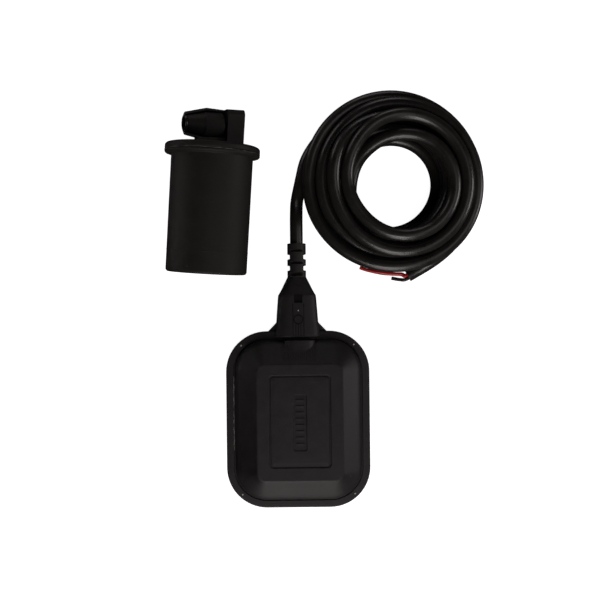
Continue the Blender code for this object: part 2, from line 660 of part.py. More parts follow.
# ---- counterweight -----------------------------------------------------------------------
# In the weight's frame the axis is Y, from the centre of the base towards the clamp.
WEIGHT_X, WEIGHT_Y = -65.6, 107.3                   # centre of its base
WEIGHT_R, WEIGHT_L = 29.3, 84.1
WEIGHT_BORE, PLUG_R = 26.6, 26.2                    # bore, and what fits inside it
FLANGE_R, FLANGE_T = 34.1, 3.6                      # each of the two welded flanges
WEIGHT_SIDES = 48
WEIGHT_LEAN = 4.0                                   # degrees from +Y towards +X
WEIGHT_ROLL = 23.0                                  # degrees about its own axis
CAP_START = WEIGHT_L + FLANGE_T + GAP
CAP_END = CAP_START + FLANGE_T

# In the clamp's frame X runs along the clamp and Y away from the cap.
CLAMP_H = 14.9                                      # clamp axis above the cap
CLAMP_YAW = 3.5                                     # degrees between the clamp and the cap
CLAMP_LOW = -CLAMP_H - 2.0                          # moulded parts sink this far into the cap
BLOCK_Y, BLOCK_Z, BLOCK_R = 7.4, 7.3, 3.2           # centre of a rounded corner; its radius
CRADLE = [(-20.4, 8.3), (-7.0, 10.6), (8.0, 10.5)]  # x, outer radius
CRADLE_T = 1.6
NUT_R, NUT_BORE = 8.3, 4.95
NUT_PROFILE = [                                     # radius, x
    (NUT_BORE, -19.6), (5.6, -19.6), (7.9, -7.8), (NUT_R, -7.2), (NUT_R, 6.4),
    (NUT_R - 0.4, 6.8), (NUT_BORE, 6.8),
]
RING_PROFILE = [                                    # radius, x
    (5.45, -21.5), (6.1, -21.5), (6.35, -21.1), (6.35, -20.3), (6.1, -19.9), (5.45, -19.9),
]


def weight_frame():
    tilt = atan2(FLANGE_R - WEIGHT_R, WEIGHT_L)     # rests on the flange's and base's edges
    frame = frame_at("weight_frame", (WEIGHT_X, WEIGHT_Y, WEIGHT_R * cos(tilt) + 0.05))
    turn = (Matrix.Rotation(radians(-WEIGHT_LEAN), 4, "Z") @ Matrix.Rotation(tilt, 4, "X")
            @ Matrix.Rotation(radians(WEIGHT_ROLL), 4, "Y"))
    frame.rotation_euler = turn.to_euler()
    return frame


def build_weight_shell(frame):
    end = WEIGHT_L + FLANGE_T
    put("weight_shell", turned(
        [(24.0, 2.4), (WEIGHT_BORE, 2.4), (WEIGHT_BORE, end), (FLANGE_R - 0.5, end),
         (FLANGE_R, end - 0.5), (FLANGE_R, WEIGHT_L + 0.6), (FLANGE_R - 0.6, WEIGHT_L),
         (WEIGHT_R, WEIGHT_L), (WEIGHT_R, 1.2), (WEIGHT_R - 0.8, 0.2), (WEIGHT_R - 1.6, 0.0)],
        WEIGHT_SIDES, across_y), "weight_black", frame)


def build_ballast(frame):
    put("ballast_slug", turned([(25.4, 2.8), (PLUG_R, 3.6), (PLUG_R, 17.4), (25.4, 18.2)],
                               36, across_y), "ballast_iron", frame)


def clamp_block():
    corner = [(BLOCK_Y + BLOCK_R * sin(angle), BLOCK_Z + BLOCK_R * cos(angle))
              for angle in (radians(22.5 * i) for i in range(5))]
    half = [(CLAMP_LOW, BLOCK_Z + BLOCK_R)] + corner        # y, z of the +Z half
    return prism(half + [(y, -z) for y, z in reversed(half)], across_x, 7.4, 20.8)


def clamp_cradle():
    """A channel round the -Z half of the nut, open towards +Z."""
    arc = [radians(80 + 200.0 * i / 16) for i in range(17)]
    loops = []
    for x, radius in CRADLE:
        inner = radius - CRADLE_T
        loops.append([(x, radius * sin(angle), radius * cos(angle)) for angle in arc]
                     + [(x, inner * sin(angle), inner * cos(angle))
                        for angle in reversed(arc)])
    return loft(loops)


def build_cap(frame, clamp):
    """The cap, with the clamp's block, cradle and foot moulded on."""
    cap = put("weight_cap", turned(
        [(23.6, CAP_START + 0.1), (23.6, CAP_START - 6.0), (PLUG_R, CAP_START - 6.0),
         (PLUG_R, CAP_START), (FLANGE_R - 0.5, CAP_START), (FLANGE_R, CAP_START + 0.5),
         (FLANGE_R, CAP_END - 0.6), (FLANGE_R - 0.6, CAP_END)],
        WEIGHT_SIDES, across_y), "cap_black", frame)
    foot = box((-13.0, 8.0), (CLAMP_LOW, -9.35), (-6.0, 3.0))
    for name, bm in (("clamp_block", clamp_block()), ("clamp_cradle", clamp_cradle()),
                     ("clamp_foot", foot)):
        join(cap, put(name, bm, "cap_black", clamp))
    cut(cap, put("clamp_bore", turned([(NUT_BORE, 3), (NUT_BORE, 30)], 20, across_x),
                 "cap_black", clamp))


def build_nut(clamp):
    put("clamp_nut", turned(NUT_PROFILE, 32, across_x, ring=True), "nut_black",
        frame_at("nut_frame", (0, 0, 0), clamp))


def build_stop_ring(clamp):
    put("stop_ring", turned(RING_PROFILE, 24, across_x, ring=True), "ring_black",
        frame_at("ring_frame", (0, 0, 0), clamp))


# ---- the whole kit -----------------------------------------------------------------------
def build_weight():
    frame = weight_frame()
    build_weight_shell(frame)
    build_ballast(frame)
    clamp = frame_at("clamp_frame", (0, CAP_END + CLAMP_H, 0), frame)
    clamp.rotation_euler = (0, 0, radians(CLAMP_YAW))
    build_cap(frame, clamp)
    build_nut(clamp)
    build_stop_ring(clamp)


def build_float():
    frame = frame_at("float_frame", (0, 0, 0))
    for build in (build_shells, build_neck, build_boot, build_gland, build_cable_stub,
                  build_chamber, build_ball_track, build_ball, build_case, build_terminals,
                  build_bracket, build_lever, build_plunger, build_inner_leads):
        build(frame)


clear_scene()
build_float()
build_cable()
build_cores()
build_weight()
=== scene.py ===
"""A cable float switch lying on a pale floor, seen from straight above.

The float lies flat with its seam level. Its neck and strain relief boot point along +Y, where
the cable leaves and runs into a loose coil. The cable's cut end shows three stripped cores. The
counterweight is a drum with a clamp nut on its cap, placed by its mount and by the nut's joint.
Sizes are in millimetres until a mesh is finished. Left is -X, right is +X.
"""
import json
from math import asin, atan2, cos, hypot, pi, radians, sin

import bmesh
import bpy
import numpy as np
from mathutils import Matrix, Vector


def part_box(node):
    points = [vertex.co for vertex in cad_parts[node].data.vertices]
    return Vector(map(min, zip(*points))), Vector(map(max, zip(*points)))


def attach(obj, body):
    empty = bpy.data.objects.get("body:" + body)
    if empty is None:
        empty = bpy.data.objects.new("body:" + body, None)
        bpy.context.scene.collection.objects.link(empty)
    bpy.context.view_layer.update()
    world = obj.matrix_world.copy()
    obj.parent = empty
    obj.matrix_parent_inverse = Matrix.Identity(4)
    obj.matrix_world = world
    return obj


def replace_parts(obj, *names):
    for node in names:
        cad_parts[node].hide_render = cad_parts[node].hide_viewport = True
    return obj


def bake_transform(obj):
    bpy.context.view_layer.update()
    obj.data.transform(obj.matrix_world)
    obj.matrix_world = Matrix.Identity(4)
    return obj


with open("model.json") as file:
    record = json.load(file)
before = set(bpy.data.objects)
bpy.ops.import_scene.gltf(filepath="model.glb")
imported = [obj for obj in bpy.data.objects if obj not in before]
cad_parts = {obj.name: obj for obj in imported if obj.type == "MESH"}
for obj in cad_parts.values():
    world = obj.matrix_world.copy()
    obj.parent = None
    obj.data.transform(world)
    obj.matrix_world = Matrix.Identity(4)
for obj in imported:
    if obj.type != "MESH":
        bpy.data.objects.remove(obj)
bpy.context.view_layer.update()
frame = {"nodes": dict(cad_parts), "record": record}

MM = 0.001
JOINT = {j["name"]: j for j in frame["record"]["behaviour"]["joints"]}
MOUNT = {m["name"]: m for m in frame["record"]["mounts"]}


def mm_box(node):
    low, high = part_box(node)
    return low / MM, high / MM


# ---------------------------------------------------------------------------- shader building
class ShaderTree:
    """A small builder for shader trees that end in a Principled BSDF."""

    def __init__(self, name):
        self.material = bpy.data.materials.new(name)
        self.material.use_nodes = True
        self.tree = self.material.node_tree
        self.shader = self.tree.nodes["Principled BSDF"]

    def feed(self, socket, value):
        if isinstance(value, bpy.types.NodeSocket):
            self.tree.links.new(value, socket)
        else:
            socket.default_value = value

    def node(self, kind, inputs=None, **settings):
        node = self.tree.nodes.new(kind)
        for key, value in settings.items():
            setattr(node, key, value)
        for key, value in (inputs or {}).items():
            self.feed(node.inputs[key], value)
        return node

    def object_coords(self):
        return self.node("ShaderNodeTexCoord").outputs["Object"]

    def noise(self, vector, scale, **inputs):
        inputs = {"Vector": vector, "Scale": scale, **inputs}
        return self.node("ShaderNodeTexNoise", inputs).outputs["Fac"]

    def mapped(self, vector, **inputs):
        return self.node("ShaderNodeMapping", {"Vector": vector, **inputs}).outputs["Vector"]

    def ramp(self, value, stops):
        """A grey ramp through (position, brightness) stops."""
        node = self.node("ShaderNodeValToRGB", {"Fac": value})
        elements = node.color_ramp.elements
        while len(elements) < len(stops):
            elements.new(0.5)
        for element, (position, grey) in zip(elements, stops):
            element.position = position
            element.color = (grey, grey, grey, 1)
        return node.outputs["Color"]

    def rise(self, value, start, end, low=0.0):
        """Goes from low to 1 while the value goes from start to end."""
        return self.ramp(value, [(start, low), (end, 1.0)])

    def math(self, operation, first, second):
        node = self.node("ShaderNodeMath", {0: first, 1: second}, operation=operation)
        return node.outputs[0]

    def times(self, first, second):
        return self.math("MULTIPLY", first, second)

    def sway(self, value, noise, amount):
        """Moves a value up and down with a noise that centres on 0.5."""
        return self.math("ADD", value, self.times(self.math("SUBTRACT", noise, 0.5), amount))

    def mix(self, factor, first, second):
        node = self.node("ShaderNodeMix", {"Factor": factor}, data_type="RGBA")
        for socket, color in ((node.inputs[6], first), (node.inputs[7], second)):
            is_link = isinstance(color, bpy.types.NodeSocket)
            self.feed(socket, color if is_link else (*color, 1))
        return node.outputs[2]

    def bump(self, height, strength, distance, under=None):
        inputs = {"Strength": strength, "Distance": distance, "Height": height}
        if under:
            inputs["Normal"] = under
        return self.node("ShaderNodeBump", inputs).outputs["Normal"]

    def out(self, values):
        for name, value in values.items():
            self.feed(self.shader.inputs[name], value)


def tone(color, gain, lift=0.0):
    return tuple(min(1, c * gain + lift) for c in color)


def surface(name, base, rough, grain=0.4, grain_mm=0.35, mottle=0.25, mottle_mm=9.0, wear=0.35,
            wear_color=None, scratch=0.0, specks=0.0, metal=0.0, spec=0.5, bump=1.0):
    """A moulded, cast or drawn surface.

    grain and mottle are the strengths of fine bumps and of slow blotches, with their sizes in mm.
    wear lightens edges, scratch draws hairlines, specks adds dust, and bump scales all relief.
    """
    s = ShaderTree(name)
    coords = s.object_coords()
    fine = s.noise(coords, scale=1000.0 / grain_mm, Detail=3.0, Roughness=0.6)
    slow = s.noise(coords, scale=1000.0 / mottle_mm, Detail=5.0, Roughness=0.55, Distortion=0.3)
    wide = s.noise(coords, scale=1000.0 / (mottle_mm * 7), Detail=2.0)
    blotch = s.rise(slow, start=0.32, end=0.68)
    color = s.mix(blotch, tone(base, gain=1 - mottle), tone(base, gain=1 + mottle))
    roughness = s.sway(rough, slow, amount=0.16)
    roughness = s.sway(roughness, wide, amount=0.128)
    if wear:
        pointiness = s.node("ShaderNodeNewGeometry").outputs["Pointiness"]
        edge = s.times(s.rise(pointiness, start=0.515, end=0.60),
                       s.rise(slow, start=0.35, end=0.7, low=0.25))
        edge = s.times(edge, wear)
        color = s.mix(edge, color, wear_color or tone(base, gain=3.2, lift=0.01))
        gloss = 0.06                                 # worn edges are this much smoother
        roughness = s.math("SUBTRACT", roughness, s.times(edge, gloss))
    if scratch:
        # two sets of hairlines: turn, and stretch of the noise across and along the lines
        for turn, stretch in (((0, 0, 0.6), (60, 2600, 60)), ((0.3, 0, -0.9), (45, 1900, 45))):
            line = s.noise(s.mapped(coords, Rotation=turn, Scale=stretch), scale=1.0, Detail=1.0)
            line = s.times(s.rise(line, start=0.735, end=0.775),
                           s.rise(wide, start=0.42, end=0.62))
            line = s.times(line, scratch)
            color = s.mix(line, color, tone(base, gain=4, lift=0.02))
            dulling = 0.12
            roughness = s.math("ADD", roughness, s.times(line, dulling))
    if specks:
        speck_spacing_mm, dust_color = 7.5, (0.35, 0.34, 0.32)
        cells = s.node("ShaderNodeTexVoronoi", {"Vector": coords,
                                                "Scale": 1000.0 / speck_spacing_mm}, feature="F1")
        near = s.ramp(cells.outputs["Distance"], [(0.0, 1.0), (0.035, 1.0), (0.045, 0.0)])
        pick = s.node("ShaderNodeSeparateColor", {"Color": cells.outputs["Color"]}).outputs[0]
        speck = s.times(near, s.rise(pick, start=0.80, end=0.82))
        color = s.mix(s.times(speck, specks), color, dust_color)
    relief = s.bump(fine, strength=grain * bump, distance=0.00006)
    relief = s.bump(slow, strength=0.22 * bump, distance=0.0005, under=relief)
    lowest_roughness = 0.05
    s.out({"Base Color": color, "Roughness": s.math("MAXIMUM", roughness, lowest_roughness),
           "Metallic": metal, "Specular IOR Level": spec, "Normal": relief})
    return s.material


def cable_skin(name, base, rough):
    """Extruded rubber with faint lines along it, slow mottling and chalky rub marks.

    The UV map runs along and round the cable in mm.
    """
    s = ShaderTree(name)
    uv = s.node("ShaderNodeUVMap", uv_map="along").outputs["UV"]
    coords = s.object_coords()
    line_stretch = (0.02, 3.2, 1.0)                  # noise scale along and round the cable
    lines = s.noise(s.mapped(uv, Scale=line_stretch), scale=1.0, Detail=3.0, Roughness=0.6)
    fine = s.noise(coords, scale=2200.0, Detail=2.0)
    slow = s.noise(coords, scale=70.0, Detail=5.0, Roughness=0.6)
    color = s.mix(s.rise(slow, start=0.3, end=0.72), tone(base, gain=0.75), tone(base, gain=1.35))
    rub = s.times(s.rise(slow, start=0.60, end=0.74), s.rise(lines, start=0.45, end=0.7))
    rub_strength = 0.15
    color = s.mix(s.times(rub, rub_strength), color, tone(base, gain=3, lift=0.012))
    roughness = s.sway(rough, slow, amount=0.22)
    roughness = s.sway(roughness, lines, amount=0.10)
    relief = s.bump(lines, strength=0.28, distance=0.00012)
    relief = s.bump(fine, strength=0.18, distance=0.00005, under=relief)
    relief = s.bump(slow, strength=0.25, distance=0.0006, under=relief)
    lowest_roughness = 0.12
    s.out({"Base Color": color, "Roughness": s.math("MAXIMUM", roughness, lowest_roughness),
           "Normal": relief})
    return s.material


def core_skin(name, base):
    return surface(name, base, rough=0.34, grain=0.25, grain_mm=0.5, mottle=0.22, mottle_mm=3.0,
                   wear=0.15, wear_color=tone(base, gain=1.3, lift=0.05), bump=0.6)


# ---------------------------------------------------------------------------- materials
SHELL = surface("float_plastic", base=(0.0150, 0.0137, 0.0139), rough=0.52, grain=0.6,
                grain_mm=0.45, mottle=0.16, wear=0.22, scratch=0.3, specks=0.5, spec=0.32)
NECK = surface("neck_plastic", base=(0.0132, 0.0124, 0.0123), rough=0.54, grain=0.55,
               grain_mm=0.30, mottle=0.12, wear=0.22, scratch=0.12, specks=0.3, spec=0.30)
BOOT = surface("boot_rubber_skin", base=(0.0155, 0.0148, 0.0142), rough=0.56, grain=0.5,
               grain_mm=0.25, mottle=0.14, wear=0.2, spec=0.30)
WEIGHT = surface("weight_plastic", base=(0.0122, 0.0113, 0.0102), rough=0.60, grain=0.7,
                 grain_mm=0.40, mottle=0.12, wear=0.22, scratch=0.15, specks=0.4, spec=0.22)
CLAMP = surface("clamp_plastic", base=(0.0132, 0.0124, 0.0114), rough=0.58, grain=0.5,
                grain_mm=0.30, mottle=0.14, wear=0.3, scratch=0.3, spec=0.26)
COLLAR = surface("collar_plastic", base=(0.014, 0.0135, 0.013), rough=0.30, grain=0.25,
                 grain_mm=0.4, mottle=0.15, wear=0.4, spec=0.45)
WELD = surface("weld_flash", base=(0.085, 0.08, 0.075), rough=0.6, grain=0.8, grain_mm=0.25,
               mottle=0.75, mottle_mm=2.5, wear=0.3, spec=0.3)
SKIN = cable_skin("cable_rubber", base=(0.0150, 0.0140, 0.0128), rough=0.30)
# darker than the boot's rubber: painted shade for the floors of the boot's slots and notches
SLOT_SHADE_PAINT = surface("boot_slot_painted_shade", base=(0.0095, 0.0090, 0.0086), rough=0.7, grain=0.3,
               mottle=0.1, wear=0.0, spec=0.12)
# darker than the neck's plastic: painted shade for the floors of the neck's recesses, also the
# colour of the round pad's ring
DIMPLE = surface("neck_dimple_shade", base=(0.0062, 0.0058, 0.0056), rough=0.62, grain=0.4,
                 mottle=0.1, wear=0.0, spec=0.14)
FLASH = surface("seam_flash", base=(0.26, 0.25, 0.24), rough=0.6, grain=0.6, grain_mm=0.25,
                mottle=0.8, mottle_mm=2.2, wear=0.0, spec=0.3)
BEAD = surface("weld_bead", base=(0.026, 0.024, 0.022), rough=0.6, grain=0.8, grain_mm=0.25,
               mottle=0.9, mottle_mm=3.5, wear=0.5, spec=0.3)
PIP = surface("pip_white", base=(0.42, 0.40, 0.37), rough=0.55, grain=0.3, mottle=0.2,
              mottle_mm=2.0, wear=0.0)
RED = core_skin("core_red_pvc", base=(0.50, 0.012, 0.012))
BLACK = core_skin("core_black_pvc", base=(0.011, 0.011, 0.011))
GREEN = core_skin("core_green_pvc", base=(0.02, 0.17, 0.045))
NYLON = surface("natural_nylon", base=(0.55, 0.53, 0.45), rough=0.45, grain=0.5, mottle=0.12,
                wear=0.3, wear_color=(0.72, 0.7, 0.62))
RUBBER = surface("seal_rubber", base=(0.02, 0.02, 0.02), rough=0.68, grain=0.6, mottle=0.25,
                 wear=0.3)
RESIN = surface("potting", base=(0.05, 0.043, 0.035), rough=0.22, grain=0.15, mottle=0.3,
                mottle_mm=5, wear=0.1)
BAKELITE = surface("bakelite", base=(0.028, 0.024, 0.02), rough=0.36, grain=0.5, mottle=0.3,
                   mottle_mm=3, wear=0.4)
STEEL = surface("bright_steel", base=(0.58, 0.58, 0.57), rough=0.26, grain=0.6, grain_mm=0.2,
                mottle=0.12, mottle_mm=4, wear=0.3, wear_color=(0.8, 0.8, 0.78), scratch=0.4,
                metal=1.0)
BRASS = surface("brass_strip", base=(0.62, 0.44, 0.17), rough=0.28, grain=0.5, grain_mm=0.2,
                mottle=0.2, mottle_mm=2, wear=0.4, wear_color=(0.85, 0.68, 0.35), metal=1.0)
IRON = surface("cast_iron", base=(0.11, 0.105, 0.10), rough=0.62, grain=1.0, grain_mm=0.7,
               mottle=0.4, mottle_mm=4, wear=0.5, wear_color=(0.3, 0.29, 0.28), metal=0.8)
PLUNGER = surface("plunger_red", base=(0.42, 0.035, 0.025), rough=0.36, grain=0.4, mottle=0.15,
                  mottle_mm=2, wear=0.3, wear_color=(0.6, 0.15, 0.1))


# ---------------------------------------------------------------------------- mesh helpers (mm)
def angles(count):
    return [2 * pi * i / count for i in range(count)]


def rounded_rect(width, length, radius, segments=16, x_mid=0.0):
    radius = max(min(radius, width / 2 - 1e-3, length / 2 - 1e-3), 0.05)
    points = []
    for side_x, side_y, start in ((1, 1, 0), (-1, 1, 90), (-1, -1, 180), (1, -1, 270)):
        for i in range(segments + 1):
            a = radians(start + 90.0 * i / segments)
            points.append((x_mid + side_x * (width / 2 - radius) + radius * cos(a),
                           side_y * (length / 2 - radius) + radius * sin(a)))
    return points


def signed_power(value, power):
    return abs(value) ** power * (1 if value >= 0 else -1)


def loft(loops, ring=False, bm=None):
    """Skins a row of equal loops, capped at both ends or closed into a ring."""
    bm = bm or bmesh.new()
    rows = [[bm.verts.new(p) for p in loop] for loop in loops]
    n = len(rows[0])
    for a, b in list(zip(rows, rows[1:])) + ([(rows[-1], rows[0])] if ring else []):
        for i in range(n):
            j = (i + 1) % n
            bm.faces.new((a[i], a[j], b[j], b[i]))
    if not ring:
        bm.faces.new(list(reversed(rows[0])))
        bm.faces.new(rows[-1])
    return bm


def turned(profile, count, ring=False, axis="y"):
    """Turns (radius, distance) points round the x or y axis."""
    loops = []
    for r, h in profile:
        circle = [(r * cos(a), r * sin(a)) for a in angles(count)]
        loops.append([(u, h, v) if axis == "y" else (h, u, v) for u, v in circle])
    return loft(loops, ring=ring)


def knob(x, y, z, profile, count, bm=None):
    """An upright round pip or pad from (radius, height) points."""
    return loft([[(x + r * cos(a), y + r * sin(a), z + h) for a in angles(count)]
                 for r, h in profile], bm=bm)


def add_box(bm, x0, x1, y0, y1, z0, z1):
    v = [bm.verts.new((x, y, z)) for z in (z0, z1)
         for x, y in ((x0, y0), (x1, y0), (x1, y1), (x0, y1))]
    for quad in ((3, 2, 1, 0), (4, 5, 6, 7), (0, 1, 5, 4),
                 (1, 2, 6, 5), (2, 3, 7, 6), (3, 0, 4, 7)):
        bm.faces.new([v[i] for i in quad])


def bevel_edges(bm, width, segments=2, over_degrees=30):
    edges = [e for e in bm.edges
             if len(e.link_faces) == 2 and e.calc_face_angle(0) > radians(over_degrees)]
    bmesh.ops.bevel(bm, geom=edges, offset=width, segments=segments, profile=0.5,
                    affect="EDGES", clamp_overlap=True)


def fillet(profile, radius, steps=4):
    """Rounds the corners of an open profile of (radius, distance) points."""
    out = [profile[0]]
    for before, corner, after in zip(profile, profile[1:], profile[2:]):
        mid = Vector(corner)
        u, v = Vector(before) - mid, Vector(after) - mid
        reach = min(radius, u.length * 0.45, v.length * 0.45)
        if reach < 1e-4 or u.angle(v) > radians(172):
            out.append(corner)
            continue
        p, q = mid + u.normalized() * reach, mid + v.normalized() * reach
        for i in range(steps + 1):
            t = i / steps
            w = (1 - t) ** 2 * p + 2 * (1 - t) * t * mid + t * t * q
            out.append((w.x, w.y))
    out.append(profile[-1])
    return out


def tube(points, radius, sides, cap_start=True, cap_end=True, uv_start=0.0):
    """A round tube along a dense line, with a UV map in mm. Radius is one value or one a point."""
    P = np.array([tuple(p) for p in points], float)
    T = np.gradient(P, axis=0)
    T /= np.linalg.norm(T, axis=1)[:, None]
    u = np.array([0, 0, 1.0]) - T[0] * T[0][2]
    u /= np.linalg.norm(u)
    radii = np.broadcast_to(radius, len(P))
    bm = bmesh.new()
    layer = bm.loops.layers.uv.new("along")
    rows, distances, distance = [], [], uv_start
    for i in range(len(P)):
        if i:
            distance += float(np.linalg.norm(P[i] - P[i - 1]))
        distances.append(distance)
        u = u - T[i] * np.dot(u, T[i])               # carries the section along without twist
        u /= np.linalg.norm(u)
        v = np.cross(T[i], u)
        rows.append([bm.verts.new(P[i] + (u * cos(a) + v * sin(a)) * radii[i])
                     for a in angles(sides)])
    girth = 2 * pi * radii[0]
    for i in range(len(rows) - 1):
        for k in range(sides):
            j = (k + 1) % sides
            face = bm.faces.new((rows[i][k], rows[i][j], rows[i + 1][j], rows[i + 1][k]))
            corners = ((i, k), (i, k + 1), (i + 1, k + 1), (i + 1, k))
            for corner, (a, b) in zip(face.loops, corners):
                corner[layer].uv = (distances[a], girth * b / sides)
    if cap_start:
        bm.faces.new(list(reversed(rows[0])))
    if cap_end:
        bm.faces.new(rows[-1])
    return bm


def catmull_rom(p0, p1, p2, p3, t):
    return 0.5 * (2 * p1 + (p2 - p0) * t + (2 * p0 - 5 * p1 + 4 * p2 - p3) * t * t
                  + (3 * p1 - p0 - 3 * p2 + p3) * t ** 3)


def spline(points, steps):
    p = [Vector(q) for q in points]
    p = [p[0] * 2 - p[1]] + p + [p[-1] * 2 - p[-2]]
    out = [catmull_rom(*p[k:k + 4], i / steps) for k in range(len(p) - 3) for i in range(steps)]
    return out + [p[-2]]


def even(points, step):
    """Points at even distances along a line, each one smoothed with its neighbours."""
    P = np.array([tuple(p) for p in points])
    d = np.concatenate([[0], np.cumsum(np.linalg.norm(np.diff(P, axis=0), axis=1))])
    at = np.linspace(0, d[-1], int(d[-1] / step) + 1)
    Q = np.stack([np.interp(at, d, P[:, k]) for k in range(3)], 1)
    for _ in range(10):
        Q[1:-1] = 0.25 * Q[:-2] + 0.5 * Q[1:-1] + 0.25 * Q[2:]
    return [Vector(q) for q in Q]


def linked_object(name, bm):
    mesh = bpy.data.meshes.new(name)
    bm.to_mesh(mesh)
    bm.free()
    ob = bpy.data.objects.new(name, mesh)
    bpy.context.scene.collection.objects.link(ob)
    return ob


def to_metres(bm):
    bmesh.ops.scale(bm, vec=(MM, MM, MM), verts=bm.verts)


def smooth(ob, sharp):
    ob.data.shade_smooth()
    ob.data.set_sharp_from_angle(angle=radians(sharp))


def finish(name, bm, material, body, place=None, sharp=32, recalc=True):
    """A bmesh in mm becomes a piece in metres, optionally placed by a matrix, riding on a body."""
    if place is not None:
        bm.transform(place)
    to_metres(bm)
    if recalc:
        bmesh.ops.recalc_face_normals(bm, faces=bm.faces)
    ob = linked_object(name, bm)
    smooth(ob, sharp)
    ob.data.materials.append(material)
    if body:
        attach(ob, body)
    return ob


def keep_flat(ob):
    """Weights the normals by face area, so that a large flat face isn't shaded like a pillow."""
    weights = ob.modifiers.new("face_weights", "WEIGHTED_NORMAL")
    weights.keep_sharp, weights.weight = True, 90
    return ob


def cut(ob, bm, name):
    """Cuts a shape in mm out of a piece, and applies the cut."""
    to_metres(bm)
    bmesh.ops.recalc_face_normals(bm, faces=bm.faces)
    cutter = linked_object(name, bm)
    cutter.hide_render = True
    boolean = ob.modifiers.new(name, "BOOLEAN")
    boolean.operation, boolean.solver, boolean.object = "DIFFERENCE", "EXACT", cutter
    depsgraph = bpy.context.evaluated_depsgraph_get()
    new = bpy.data.meshes.new_from_object(ob.evaluated_get(depsgraph))
    ob.modifiers.clear()
    old, ob.data = ob.data, new
    bpy.data.meshes.remove(old)
    bpy.data.objects.remove(cutter)
    smooth(ob, sharp=32)


# ---------------------------------------------------------------------------- float
top_low, top_high = mm_box("float_top_shell")
bottom_low, bottom_high = mm_box("float_bottom_shell")
FLOAT_W, FLOAT_L = top_high.x - top_low.x, top_high.y - top_low.y
FLOAT_X, FLOAT_Y = (top_high.x + top_low.x) / 2, (top_high.y + top_low.y) / 2
TOP_Z, MID_Z = top_high.z, (top_low.z + bottom_high.z) / 2
HALF_H = TOP_Z - MID_Z
RIM_R = 0.2808 * FLOAT_W                             # corner radius of the rim, seen from above
RIM_HALF = 4.0                                       # half thickness of the rim
RIM_FLAT = 5.3                                       # width of the rim outside its groove
PLATEAU_W, PLATEAU_L, PLATEAU_R = FLOAT_W - 43.1, FLOAT_L - 45.6, 6.0
FOOT_W, FOOT_L, FOOT_R = FLOAT_W - 13.2, FLOAT_L - 12.4, RIM_R - 6.4
FOOT_H = RIM_HALF - 0.2                              # height of the dome's foot above the seam
LEAN = 1.35                                          # the top plateau sits this far to the right
KNEE, KNEE_OUT, KNEE_DOWN = 0.6, 0.75, 0.54          # where the flank turns from straight to curve
BOSS_R, BOSS_TALLER, BOSS_POWER = 12.1, 2.5, 3.0     # the boss is squarer than a circle
BOSS_SHIFT = 1.5                                     # the upper boss sits this far to the right
RIB_COUNT, RIB_PITCH, RIB_R = 17, 1.52, 0.36
BAR_COUNT, BAR_PITCH, BAR_HALF_W, BAR_HALF_L = 8, 4.45, 3.0, 0.85
SIDES = ((1, "upper"), (-1, "lower"))


def flank(t):
    """The dome's side from the plateau's edge (0) to its foot (1): shares out and down."""
    if t < KNEE:
        return KNEE_OUT * t / KNEE, KNEE_DOWN * t / KNEE
    q = (t - KNEE) / (1 - KNEE)
    return (KNEE_OUT * (1 - q) ** 2 + 2 * q * (1 - q) + q * q,
            KNEE_DOWN * (1 - q) ** 2 + 2 * 0.72 * q * (1 - q) + q * q)


